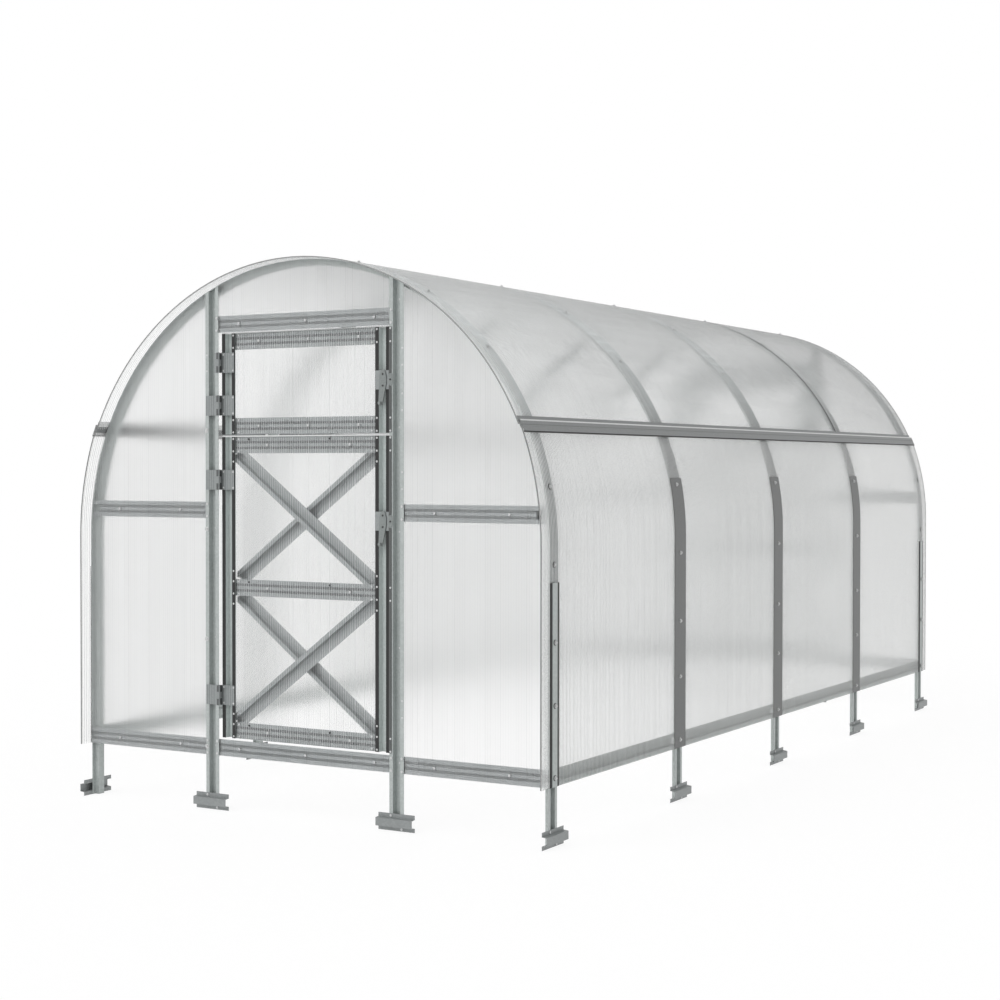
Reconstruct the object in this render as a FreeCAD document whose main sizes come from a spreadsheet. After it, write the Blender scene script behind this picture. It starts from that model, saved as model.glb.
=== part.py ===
"""Arched garden greenhouse as a parametric document, in millimetres, +Z up.

Omega-section steel arches, rails and door leaves carry twin-wall sheets. The front gable is at -Y, the
ground is at z = 0 and the middle of the house is at x = y = 0. The house is the same after half a turn
about Z, so the left side repeats the right one and the rear gable repeats the front one.
"""
import FreeCAD
import Part
import Sketcher
import math
import os

SIZES = (
    ("half_width", 1000, "middle of the house to the outer face of the arch flanges"),
    ("straight_height", 800, "bottom of the base rail to the spring line of the arches"),
    ("leg_drop", 200, "legs below the bottom of the base rail"),
    ("arch_pitch", 1000, "distance between neighbouring arches"),
    ("profile_width", 60, "omega section over its flanges"),
    ("profile_depth", 20, "omega section from the mouth to the crown"),
    ("flange_width", 15, "one flange of the omega section"),
    ("crown_taper", 2, "how far each web leans in from the mouth to the crown"),
    ("gauge", 1.2, "thickness of the formed steel"),
    ("sheet_thick", 4, "thickness of the twin-wall sheet"),
    ("sheet_gap", 0.6, "play between a bent sheet and its seat"),
    ("end_gap", 0.8, "play at the cut end of a bar"),
    ("overhang", 58, "roof and wall sheets past the flanges of the gable arches"),
    ("seam_offset", 28, "seam between front and rear sheets, before the middle of its arch"),
    ("seam_gap", 2, "gap at that seam"),
    ("sheet_trim", 1, "gable sheets short of the arch flange face"),
    ("wall_flare", 92, "bending radius of the wall sheets over that of the arches"),
    ("wall_short", 3.8, "upper edge of the wall sheets below the joint rail's step"),
    ("joint_angle", 24.2, "angle on the arc of the joint rail's step, in degrees"),
    ("joint_lap", 0.5, "angle by which the roof sheet runs past that step, in degrees"),
    ("joint_upper", 20, "upper flange of the joint rail"),
    ("joint_lower", 38, "lower face of the joint rail"),
    ("joint_inner", 24, "inner flange of the joint rail, behind the wall sheet"),
    ("joint_step", 9, "how far the lower face of the joint rail stands out"),
    ("joint_groove", 1.0, "depth of the groove along the lower face of the joint rail"),
    ("strip_width", 98, "cover strip over a wall joint"),
    ("strip_thick", 1, "thickness of the cover strips"),
    ("strip_rise", 1020, "top of the cover strips above the base rail's bottom"),
    ("corner_rise", 678, "top of the corner strips above the base rail's bottom"),
    ("corner_width", 34, "steel corner strip"),
    ("corner_seal_width", 60, "rubber band under the corner strip"),
    ("corner_seal_thick", 2, "thickness of that band"),
    ("anchor_length", 150, "ground anchor across the foot of a leg"),
    ("post_spread", 810, "distance between the middles of the two door posts"),
    ("mid_rail_height", 872, "bottom of the gable's middle rails above the base rail's bottom"),
    ("transom_height", 248, "bottom of the lintel below the top of the arch"),
    ("leaf_side_gap", 7, "door leaf to door post"),
    ("leaf_top_gap", 4.5, "upper leaf to lintel"),
    ("leaf_bottom_gap", 6, "lower leaf to sill"),
    ("leaf_split_height", 1174.5, "middle of the gap between the leaves above the base rail's bottom"),
    ("leaf_split_gap", 9, "gap between the leaves"),
    ("leaf_recess", 11.4, "front of the leaf seals behind the front of the posts"),
    ("leaf_sheet_edge", 2, "leaf sheet short of the leaf's top and bottom"),
    ("leaf_mid_rail_height", 590, "bottom of the lower leaf's middle rail above the base rail's bottom"),
    ("seal_width", 14, "rubber band on a stile flange"),
    ("seal_thick", 2, "thickness of that band"),
    ("hinge_tall", 73, "height of a hinge"),
    ("hinge_wide", 56, "width of one hinge plate"),
    ("top_plate_wide", 16, "width of the top hinge's plate, on one post flange only"),
    ("plate_thick", 1.5, "thickness of hinge, latch and keeper plates"),
    ("barrel_diameter", 10, "hinge barrel"),
    ("pin_diameter", 5, "hinge pin"),
    ("pin_head_diameter", 8, "head of the hinge pin"),
    ("pin_head_tall", 1.5, "height of that head"),
    ("turning_gap", 0.05, "radial clearance of pins and spindles"),
    ("knuckle_gap", 1, "axial gap between hinge knuckles"),
    ("upper_hinge_share", 0.288, "middle of the upper leaf's hinges from its ends, as a share of its height"),
    ("lower_hinge_share", 0.142, "the same for the lower leaf"),
    ("lower_latch_drop", 298, "pivot of the lower leaf's latch below the leaf's top"),
    ("latch_inset", 25, "latch pivot from the free edge of the leaf"),
    ("latch_plate_wide", 46, "latch plate on the stile"),
    ("latch_plate_tall", 66, "its height"),
    ("latch_spindle", 8, "diameter of the latch spindle"),
    ("latch_lift", 0.5, "latch handle in front of its plate"),
    ("latch_thick", 3, "thickness of the latch handle"),
    ("latch_tongue", 35, "reach of the latch tongue from its pivot"),
    ("latch_tongue_wide", 14, "width of the tongue's tip"),
    ("latch_hub_wide", 28, "width of the handle at its pivot"),
    ("latch_handle", 88, "reach of the handle below its pivot"),
    ("latch_handle_tip", 16, "width of the handle's lower end"),
    ("latch_handle_lean", 10, "sideways lean of the handle's lower end"),
    ("grip_diameter", 11, "knob at the lower end of the handle"),
    ("grip_tall", 8, "length of that knob"),
    ("keeper_tall", 40, "height of the latch keeper"),
    ("keeper_reach", 13, "keeper plate on the post flange"),
    ("keeper_play", 1.5, "keeper lip in front of the latch tongue"),
    ("keeper_gap", 2.5, "keeper lip past the post's edge, into the gap beside the leaf"),
    ("screw_head", 9, "head of a roofing screw"),
    ("screw_head_tall", 4, "its height"),
    ("screw_washer", 15, "washer of a roofing screw"),
    ("screw_washer_tall", 1.6, "its height"),
    ("screw_shank", 5, "shank of a roofing screw"),
    ("screw_long", 25, "shank of a roofing screw below its washer"),
    ("tek_head", 9, "head of a small frame screw"),
    ("tek_head_tall", 2.6, "its height"),
    ("tek_shank", 3.6, "shank of a small frame screw"),
    ("tek_long", 9, "shank of a small frame screw below its head"),
    ("row_foot", 30, "lowest screw of a wall row above the base rail's bottom"),
    ("row_next", 270, "second screw of a wall row"),
    ("row_third", 480, "third screw of a wall row"),
    ("row_pitch", 258, "distance of the screws above the third one"),
    ("roof_screw_angle", 12.8, "uppermost roof screws on both sides of the ridge, in degrees"),
    ("roof_screw_angle_step", 17.7, "angle to the roof screws below them, in degrees"),
)

# The layout: how many bays the house has, at which arch the sheets meet, and the roof screws on each side.
BAYS = 4
SEAM_ARCH = 3
ROOF_SCREWS = 3

PLACES = (
    ("base_z", "Sizes.leg_drop"),
    ("spring_z", "Sizes.leg_drop + Sizes.straight_height"),
    ("half_length", f"Sizes.arch_pitch * {BAYS} / 2"),
    ("half_profile", "Sizes.profile_width / 2"),
    ("mouth", "Sizes.profile_width / 2 - Sizes.flange_width"),
    ("web_clear", "Sizes.profile_width / 2 - Sizes.flange_width + Sizes.gauge + Sizes.end_gap"),
    ("sheet_end", "Sizes.arch_pitch * %d / 2 + Sizes.profile_width / 2 + Sizes.overhang" % BAYS),
    ("seam_y", f"Sizes.arch_pitch * {SEAM_ARCH} - half_length - Sizes.seam_offset"),
    ("front_sheet_long", "sheet_end + seam_y - Sizes.seam_gap / 2"),
    ("rear_sheet_long", "sheet_end - seam_y - Sizes.seam_gap / 2"),
    ("rail_front", "Sizes.profile_width / 2 + Sizes.gauge"),
    ("sheet_front", "rail_front + Sizes.sheet_thick"),
    ("post_front", "sheet_front + Sizes.gauge"),
    ("leaf_front", "post_front - Sizes.leaf_recess"),
    ("leaf_mouth", "leaf_front - Sizes.seal_thick"),
    ("leaf_sheet_front", "leaf_mouth - Sizes.gauge"),
    ("leaf_rail_mouth", "leaf_sheet_front - Sizes.sheet_thick"),
    ("leaf_rail_back", "leaf_rail_mouth - Sizes.profile_depth"),
    ("brace_depth", "Sizes.profile_depth - Sizes.gauge"),
    ("post_x", "Sizes.post_spread / 2"),
    ("leaf_half", "post_x - half_profile - Sizes.leaf_side_gap"),
    ("stile_x", "leaf_half - half_profile"),
    ("leaf_rail_half", "stile_x - web_clear"),
    ("lower_bottom", "base_z + Sizes.profile_width + Sizes.leaf_bottom_gap"),
    ("lower_top", "base_z + Sizes.leaf_split_height - Sizes.leaf_split_gap / 2"),
    ("upper_bottom", "base_z + Sizes.leaf_split_height + Sizes.leaf_split_gap / 2"),
    ("lintel_z", "spring_z + Sizes.half_width - Sizes.transom_height"),
    ("upper_top", "lintel_z - Sizes.leaf_top_gap"),
    ("upper_hinge_inset", "(upper_top - upper_bottom) * Sizes.upper_hinge_share"),
    ("lower_hinge_inset", "(lower_top - lower_bottom) * Sizes.lower_hinge_share"),
    ("lower_mid", "base_z + Sizes.leaf_mid_rail_height"),
    ("bay_low_z", "lower_bottom + half_profile + web_clear"),
    ("bay_low_tall", "lower_mid + half_profile - web_clear - bay_low_z"),
    ("bay_high_z", "lower_mid + half_profile + web_clear"),
    ("bay_high_tall", "lower_top - half_profile - web_clear - bay_high_z"),
    ("wall_seat", "Sizes.half_width + Sizes.sheet_gap"),
    ("wall_face", "wall_seat + Sizes.sheet_thick"),
    ("strip_seat", "wall_face + Sizes.sheet_gap"),
    ("wall_bend", "Sizes.half_width + Sizes.wall_flare"),
    ("wall_centre", "wall_seat - wall_bend"),
    ("joint_seat", "wall_face + Sizes.sheet_gap"),
    ("wall_top", "joint_seat * sin(Sizes.joint_angle * 1 deg) - Sizes.wall_short"),
    ("mid_rise", "Sizes.mid_rail_height + Sizes.profile_width - Sizes.straight_height"),
    ("axis_x", "leaf_half + Sizes.leaf_side_gap / 2"),
    ("axis_out", "post_front + Sizes.barrel_diameter / 2"),
    ("knuckle", "(Sizes.hinge_tall - 2 * Sizes.knuckle_gap) / 3"),
    ("latch_x", "leaf_half - Sizes.latch_inset"),
    ("latch_out", "leaf_front + Sizes.plate_thick + Sizes.latch_lift"),
)

doc = FreeCAD.newDocument("ArchedGreenhouse")
nodes = {}


def fill_sizes():
    """Writes the driving sizes as plain numbers, each under its own alias."""
    sheet = doc.addObject("Spreadsheet::Sheet", "Sizes")
    for row, (alias, size, note) in enumerate(SIZES, start=1):
        sheet.set(f"A{row}", alias)
        sheet.set(f"B{row}", str(size))
        sheet.set(f"C{row}", note)
        sheet.setAlias(f"B{row}", alias)
    doc.recompute()
    return sheet


def fill_places():
    """Writes the places worked out from the sizes, as formulas."""
    sheet = doc.addObject("Spreadsheet::Sheet", "Places")
    for row, (alias, formula) in enumerate(PLACES, start=1):
        sheet.set(f"A{row}", alias)
        sheet.set(f"B{row}", "=" + formula)
        sheet.setAlias(f"B{row}", alias)
        doc.recompute()
    return sheet


sizes = fill_sizes()
places = fill_places()

# Turns that lay a bar, whose section is drawn across X with its depth along Y, along the house's axes.
STRAIGHT = FreeCAD.Rotation()
ALONG_X = FreeCAD.Rotation(FreeCAD.Vector(0, 1, 0), 90)
HALF_TURN = FreeCAD.Rotation(FreeCAD.Vector(0, 0, 1), 180)
ALONG_X_FACING_OUT = HALF_TURN * ALONG_X
UPRIGHT_TO_FRONT = FreeCAD.Rotation(FreeCAD.Vector(1, 0, 0), 90)
ALONG_Y_CROWN_IN = FreeCAD.Rotation(
    FreeCAD.Vector(0, 0, -1), FreeCAD.Vector(-1, 0, 0), FreeCAD.Vector(0, 1, 0), "ZYX")
ALONG_Y_CROWN_OUT = FreeCAD.Rotation(
    FreeCAD.Vector(0, 0, 1), FreeCAD.Vector(1, 0, 0), FreeCAD.Vector(0, 1, 0), "ZYX")


def number(formula):
    """Works a formula out as a plain number."""
    return float(sizes.evalExpression(formula))


def size(alias):
    """Reads one driving size."""
    return float(getattr(sizes, alias))


def spot(alias):
    """Reads one worked-out place."""
    return float(getattr(places, alias))


def place(piece, x, y, z, rotation=STRAIGHT):
    """Turns a piece and binds its position to three formulas."""
    piece.Placement = FreeCAD.Placement(FreeCAD.Vector(number(x), number(y), number(z)), rotation)
    piece.setExpression("Placement.Base.x", x)
    piece.setExpression("Placement.Base.y", y)
    piece.setExpression("Placement.Base.z", z)
    return piece


def front(out):
    """Gives the formula for y at a distance in front of the front arch's middle plane."""
    return f"-Places.half_length - ({out})"


def keep(piece, node):
    """Names a piece as one of the sub-parts."""
    piece.Label = node
    nodes[node] = piece
    return piece


def outline(name, corners):
    """Draws a closed outline whose corners are pairs of formulas."""
    sketch = doc.addObject("Sketcher::SketchObject", name)
    points = [FreeCAD.Vector(number(x), number(y), 0) for x, y in corners]
    count = len(points)
    for index in range(count):
        sketch.addGeometry(Part.LineSegment(points[index], points[(index + 1) % count]), False)
    for index in range(count):
        sketch.addConstraint(Sketcher.Constraint("Coincident", index, 2, (index + 1) % count, 1))
    for index, (x, y) in enumerate(corners):
        for kind, formula in (("DistanceX", x), ("DistanceY", y)):
            held = sketch.addConstraint(Sketcher.Constraint(kind, -1, 1, index, 1, number(formula)))
            sketch.setExpression(f"Constraints[{held}]", formula)
    return sketch


def omega_corners(depth):
    """Lists the omega section's corners, across X from its middle and in depth from its mouth."""
    edge = "Places.half_profile"
    mouth = "Places.mouth"
    crown = "(Places.mouth - Sizes.crown_taper)"
    gauge = "Sizes.gauge"
    half = [
        (edge, "0"),
        (edge, gauge),
        (f"{mouth} + {gauge}", gauge),
        (f"{crown} + {gauge}", depth),
    ]
    inner = [
        (crown, f"{depth} - {gauge}"),
        (mouth, "0"),
    ]
    far_side = [(f"-({x})", y) for x, y in reversed(half)]
    far_inner = [(f"-({x})", y) for x, y in reversed(inner)]
    return half + far_side + far_inner + inner


def extrude(name, section, length):
    """Pulls an outline along its own Z by a length formula."""
    piece = doc.addObject("Part::Extrusion", name)
    piece.Base = section
    piece.DirMode = "Custom"
    piece.Dir = FreeCAD.Vector(0, 0, 1)
    piece.Solid = True
    piece.setExpression("LengthFwd", length)
    return piece


def box(name, x, y, z, wide, long, tall):
    """Makes a block from its low corner and its three sizes, all formulas."""
    piece = doc.addObject("Part::Box", name)
    piece.setExpression("Length", wide)
    piece.setExpression("Width", long)
    piece.setExpression("Height", tall)
    return place(piece, x, y, z)


def cylinder(name, radius, tall, x, y, z, rotation=STRAIGHT, angle=None):
    """Makes a cylinder, or a sector of one, from formulas."""
    piece = doc.addObject("Part::Cylinder", name)
    piece.setExpression("Radius", radius)
    piece.setExpression("Height", tall)
    if angle is not None:
        piece.setExpression("Angle", angle)
    return place(piece, x, y, z, rotation)


def fuse(name, pieces):
    """Joins pieces into one solid."""
    joined = doc.addObject("Part::MultiFuse", name)
    joined.Shapes = pieces
    joined.Refine = True
    return joined


def cut(name, base, tool):
    """Takes one piece out of another."""
    left = doc.addObject("Part::Cut", name)
    left.Base = base
    left.Tool = tool
    return left


def common(name, base, tool):
    """Keeps what two pieces share."""
    shared = doc.addObject("Part::Common", name)
    shared.Base = base
    shared.Tool = tool
    return shared


def copy_of(name, source, x="0", y="0", z="0", rotation=STRAIGHT):
    """Repeats a piece elsewhere, shifted by formulas and turned about the house's origin."""
    link = doc.addObject("App::Link", name)
    link.LinkedObject = source
    link.LinkTransform = True
    return place(link, x, y, z, rotation)


def group(name, pieces):
    """Collects separate solids in one sub-part."""
    together = doc.addObject("Part::Compound", name)
    together.Links = pieces
    return together


omega = outline("OmegaSection", omega_corners("Sizes.profile_depth"))


def bar(name, length, x, y, z, rotation, section=omega):
    """Cuts a length of omega section and lays it in its place."""
    return place(extrude(name, section, length), x, y, z, rotation)


def build_arches():
    """Bends one omega bar over each station: two legs and a half circle, hollow side outward."""
    corners = omega_corners("Sizes.profile_depth")
    right = outline("ArchSectionRight", [(f"Sizes.half_width - ({v})", u) for u, v in corners])
    left = outline("ArchSectionLeft", [(f"({v}) - Sizes.half_width", u) for u, v in corners])
    bend = doc.addObject("Part::Revolution", "ArchBend")
    bend.Source = right
    bend.Axis = FreeCAD.Vector(0, -1, 0)
    bend.Base = FreeCAD.Vector(0, 0, 0)
    bend.Angle = 180
    bend.Solid = True
    legs = []
    for name, section in (("ArchLegRight", right), ("ArchLegLeft", left)):
        leg = extrude(name, section, "Places.spring_z")
        legs.append(place(leg, "0", "0", "-Places.spring_z"))
    arch = fuse("Arch", [bend] + legs)
    place(arch, "0", "-Places.half_length", "Places.spring_z")
    keep(arch, "arch_front")
    for step, node in enumerate(("arch_second", "arch_third", "arch_fourth", "arch_rear"), start=1):
        keep(copy_of(f"Arch{step + 1}", arch, y=f"Sizes.arch_pitch * {step}"), node)


def build_base_rails():
    """Lays a base rail between the arches in every bay, hollow side outward."""
    first = bar(
        "BaseRail", "Sizes.arch_pitch - 2 * (Places.half_profile + Sizes.end_gap)",
        "Sizes.half_width", "-Places.half_length + Places.half_profile + Sizes.end_gap",
        "Places.base_z + Places.half_profile", ALONG_Y_CROWN_IN)
    bays = [first]
    for bay in range(1, BAYS):
        bays.append(copy_of(f"BaseRail{bay + 1}", first, y=f"Sizes.arch_pitch * {bay}"))
    right = keep(group("BaseRailsRight", bays), "base_rails_right")
    keep(copy_of("BaseRailsLeft", right, rotation=HALF_TURN), "base_rails_left")


def sector(name, centre_x, radius, thick, angle, start_y, long):
    """Makes a bent strip standing on the spring line: a sector of a ring, rising from the right."""
    outer = cylinder(
        name + "Outer", f"{radius} + {thick}", long, centre_x, start_y, "Places.spring_z",
        UPRIGHT_TO_FRONT, angle)
    inner = cylinder(name + "Inner", radius, long, centre_x, start_y, "Places.spring_z", UPRIGHT_TO_FRONT)
    return cut(name + "Bend", outer, inner)


def roof_sheet(name, long, end_y):
    """Bends a sheet over the arc between the two joint rails, forward from its rear end."""
    lap = "(Sizes.joint_angle - Sizes.joint_lap)"
    outer = cylinder(
        name + "Outer", "Places.wall_face", long, "0", "0", "0", STRAIGHT, f"180 - 2 * {lap}")
    outer.setExpression("Placement.Rotation.Angle", f"{lap} * 1 deg")
    inner = cylinder(name + "Inner", "Places.wall_seat", long, "0", "0", "0")
    return place(cut(name, outer, inner), "0", end_y, "Places.spring_z", UPRIGHT_TO_FRONT)


def wall_sheet(name, long, end_y):
    """Makes a right wall sheet, flat below the spring line and bent above it, forward from its rear end."""
    flat = box(
        name + "Flat", "Places.wall_seat", f"{end_y} - {long}", "Places.base_z", "Sizes.sheet_thick", long,
        "Sizes.straight_height")
    bent = sector(
        name, "Places.wall_centre", "Places.wall_bend", "Sizes.sheet_thick",
        "asin(Places.wall_top / Places.wall_bend)", end_y, long)
    return fuse(name, [flat, bent])


def build_sheets():
    """Makes the roof sheets over the arc and the wall sheets below the joint rails, meeting at one arch."""
    seam_end = "(Places.seam_y - Sizes.seam_gap / 2)"
    keep(roof_sheet("RoofSheetFront", "Places.front_sheet_long", seam_end), "roof_sheet_front")
    keep(roof_sheet("RoofSheetRear", "Places.rear_sheet_long", "Places.sheet_end"), "roof_sheet_rear")
    front_wall = wall_sheet("WallSheetFront", "Places.front_sheet_long", seam_end)
    rear_wall = wall_sheet("WallSheetRear", "Places.rear_sheet_long", "Places.sheet_end")
    keep(group("WallSheetsRight", [front_wall, rear_wall]), "wall_sheets_right")
    left_front = copy_of(
        "WallSheetLeftFront", front_wall, y=f"{seam_end} - Places.sheet_end", rotation=HALF_TURN)
    left_rear = copy_of(
        "WallSheetLeftRear", rear_wall, y="2 * Places.sheet_end - Places.rear_sheet_long", rotation=HALF_TURN)
    keep(group("WallSheetsLeft", [left_front, left_rear]), "wall_sheets_left")


def build_strips():
    """Makes the cover strips on the inner arches and the sealed corner strips on the gable arches."""
    first_y = "-Places.half_length + Sizes.arch_pitch - Sizes.strip_width / 2"
    flat = box(
        "StripFlat", "Places.strip_seat", first_y, "Places.base_z", "Sizes.strip_thick", "Sizes.strip_width",
        "Sizes.straight_height")
    seat = "Places.wall_bend + Sizes.sheet_thick + Sizes.sheet_gap"
    bent = sector(
        "Strip", "Places.wall_centre", f"({seat})", "Sizes.strip_thick",
        f"asin((Sizes.strip_rise - Sizes.straight_height) / ({seat}))",
        first_y + " + Sizes.strip_width", "Sizes.strip_width")
    strip = fuse("CoverStrip", [flat, bent])
    strips = [strip]
    for step in range(1, BAYS - 1):
        strips.append(copy_of(f"CoverStrip{step + 1}", strip, y=f"Sizes.arch_pitch * {step}"))
    right = group("CoverStripsRight", strips)
    left = copy_of("CoverStripsLeft", right, rotation=HALF_TURN)
    keep(group("CoverStrips", [right, left]), "cover_strips")
    band = box(
        "CornerSeal", "Places.strip_seat", "-Places.half_length - Sizes.corner_seal_width / 2",
        "Places.base_z", "Sizes.corner_seal_thick", "Sizes.corner_seal_width", "Sizes.corner_rise")
    plate = box(
        "CornerStrip", "Places.strip_seat + Sizes.corner_seal_thick",
        "-Places.half_length - Sizes.corner_width / 2", "Places.base_z", "Sizes.gauge",
        "Sizes.corner_width", "Sizes.corner_rise")
    for name, piece, node in (("CornerSeal", band, "corner_seals"), ("CornerStrip", plate, "corner_strips")):
        rear = copy_of(f"{name}Rear", piece, y="2 * Places.half_length")
        right = group(f"{name}sRight", [piece, rear])
        left = copy_of(f"{name}sLeft", right, rotation=HALF_TURN)
        keep(group(f"{name}s", [right, left]), node)


def build_joint_rails():
    """Draws the stepped rail that joins roof and wall sheets and pulls it along the whole house."""
    thick = "Sizes.gauge"
    step = "Sizes.joint_step"
    low = "-Sizes.joint_lower"
    groove = "Sizes.joint_groove"
    face = [
        (f"{step} - {thick}", low),
        (step, low),
        (step, f"{low} * 0.62"),
        (f"{step} - {groove}", f"{low} * 0.56"),
        (step, f"{low} * 0.5"),
        (step, thick),
    ]
    upper = [
        (thick, thick),
        (thick, "Sizes.joint_upper"),
        ("0", "Sizes.joint_upper"),
        ("0", "-Sizes.joint_inner"),
        (thick, "-Sizes.joint_inner"),
        (thick, "0"),
    ]
    back = [
        (f"{step} - {thick}", "0"),
        (f"{step} - {thick}", f"{low} * 0.5"),
        (f"{step} - {groove} - {thick}", f"{low} * 0.56"),
        (f"{step} - {thick}", f"{low} * 0.62"),
    ]
    turned = []
    for out, up in face + upper + back:
        reach = f"(Places.joint_seat + {out})"
        turned.append((
            f"{reach} * cos(Sizes.joint_angle * 1 deg) - ({up}) * sin(Sizes.joint_angle * 1 deg)",
            f"{reach} * sin(Sizes.joint_angle * 1 deg) + ({up}) * cos(Sizes.joint_angle * 1 deg)"))
    rail = extrude("JointRail", outline("JointSection", turned), "2 * Places.sheet_end")
    place(rail, "0", "Places.sheet_end", "Places.spring_z", UPRIGHT_TO_FRONT)
    keep(rail, "joint_rail_right")
    keep(copy_of("JointRailLeft", rail, rotation=HALF_TURN), "joint_rail_left")


def build_anchors():
    """Puts a short omega bar across the foot of every leg, crown outward."""
    side = bar(
        "SideAnchor", "Sizes.anchor_length", "Sizes.half_width",
        "-Places.half_length - Sizes.anchor_length / 2", "Places.half_profile", ALONG_Y_CROWN_OUT)
    row = [side]
    for step in range(1, BAYS + 1):
        row.append(copy_of(f"SideAnchor{step + 1}", side, y=f"Sizes.arch_pitch * {step}"))
    post = bar(
        "PostAnchor", "Sizes.anchor_length", "Places.post_x + Sizes.anchor_length / 2",
        front("Places.post_front"), "Places.half_profile", ALONG_X_FACING_OUT)
    row.append(post)
    row.append(copy_of("PostAnchor2", post, x="-Sizes.post_spread"))
    half = group("AnchorsHalf", row)
    other = copy_of("AnchorsOtherHalf", half, rotation=HALF_TURN)
    keep(group("GroundAnchors", [half, other]), "ground_anchors")


def gable_outline(name, radius, back, thick):
    """Makes the arched shape of a gable as a slab: a round top over a straight lower part."""
    top = cylinder(
        name + "Top", radius, thick, "0", front(back), "Places.spring_z", UPRIGHT_TO_FRONT)
    low = box(
        name + "Low", f"-({radius})", front(f"{back} + {thick}"), "0", f"2 * ({radius})", thick,
        "Places.spring_z")
    return fuse(name, [top, low])


def build_gable_frame():
    """Makes the front gable's posts, cross rails and lintel."""
    trim = gable_outline(
        "PostTrim", "(Sizes.half_width - Sizes.gauge - Sizes.end_gap)",
        "(Places.post_front - Sizes.profile_depth - Sizes.gauge)", "(Sizes.profile_depth + 2 * Sizes.gauge)")
    posts = []
    for name, x in (("PostLeft", "-Places.post_x"), ("PostRight", "Places.post_x")):
        tall = "Places.spring_z + Sizes.half_width"
        blank = bar(name + "Blank", tall, x, front("Places.post_front"), "0", STRAIGHT)
        posts.append(common(name, blank, trim))
    keep(group("FrontPosts", posts), "front_posts")
    mouth_y = front("Places.rail_front")
    inner_x = "(Places.post_x + Places.web_clear)"
    crown_round = "(Sizes.half_width - Sizes.profile_depth)"
    flange_round = "(Sizes.half_width - Sizes.gauge)"
    rows = (
        ("Sill", "Places.base_z", f"({crown_round} - Sizes.end_gap)", f"({flange_round} - Sizes.end_gap)"),
        ("MidRail", "Places.base_z + Sizes.mid_rail_height",
         f"(sqrt({crown_round}^2 - Places.mid_rise^2) - Sizes.end_gap)",
         f"(sqrt({flange_round}^2 - Places.mid_rise^2) - Sizes.end_gap)"),
    )
    rails = []
    for name, low, end, tab_end in rows:
        middle = f"{low} + Places.half_profile"
        length = f"{end} - {inner_x}"
        for side, start in (("Left", f"-{end}"), ("Right", inner_x)):
            rail = bar(f"{name}{side}Bar", length, start, mouth_y, middle, ALONG_X)
            tabs = [rail]
            tab_start = f"-{tab_end}" if side == "Left" else end
            upper_low = f"{low} + Sizes.profile_width - Sizes.flange_width"
            for tab, tab_z in (("Lower", low), ("Upper", upper_low)):
                tabs.append(box(
                    f"{name}{side}{tab}Tab", tab_start, mouth_y, tab_z, f"{tab_end} - {end}", "Sizes.gauge",
                    "Sizes.flange_width"))
            rails.append(fuse(f"{name}{side}", tabs))
    door_half = "(Places.post_x - Places.web_clear)"
    rails.append(bar(
        "SillMiddle", f"2 * {door_half}", f"-{door_half}", mouth_y,
        "Places.base_z + Places.half_profile", ALONG_X))
    keep(group("FrontCrossRails", rails), "front_cross_rails")
    lintel = bar(
        "Lintel", f"2 * {door_half}", f"-{door_half}", mouth_y,
        "Places.lintel_z + Places.half_profile", ALONG_X)
    keep(lintel, "front_lintel")


def build_gable_sheets():
    """Cuts the front gable's sheets from the arched outline: beside the door, above it and on the sill."""
    radius = "(Sizes.half_width - Sizes.sheet_trim)"
    inner_x = "(Places.post_x + Places.web_clear)"
    door_half = "(Places.post_x - Places.web_clear)"
    back_y = front("Places.sheet_front")
    slab = gable_outline("GableSlab", radius, "Places.rail_front", "Sizes.sheet_thick")
    sides = []
    for name, x in (("SideSheetLeft", f"-{radius}"), ("SideSheetRight", inner_x)):
        window = box(
            name + "Window", x, back_y, "Places.base_z", f"{radius} - {inner_x}", "Sizes.sheet_thick",
            "Places.spring_z + Sizes.half_width")
        sides.append(common(name, slab, window))
    keep(group("FrontSideSheets", sides), "front_side_sheets")
    window = box(
        "TransomWindow", f"-{door_half}", back_y, "Places.lintel_z", f"2 * {door_half}",
        "Sizes.sheet_thick", "Sizes.half_width + Places.spring_z")
    transom = common("TransomSheet", slab, window)
    sill = box(
        "SillSheet", f"-{door_half}", back_y, "Places.base_z", f"2 * {door_half}", "Sizes.sheet_thick",
        "Sizes.profile_width")
    keep(group("FrontCentreSheets", [transom, sill]), "front_centre_sheets")


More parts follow.
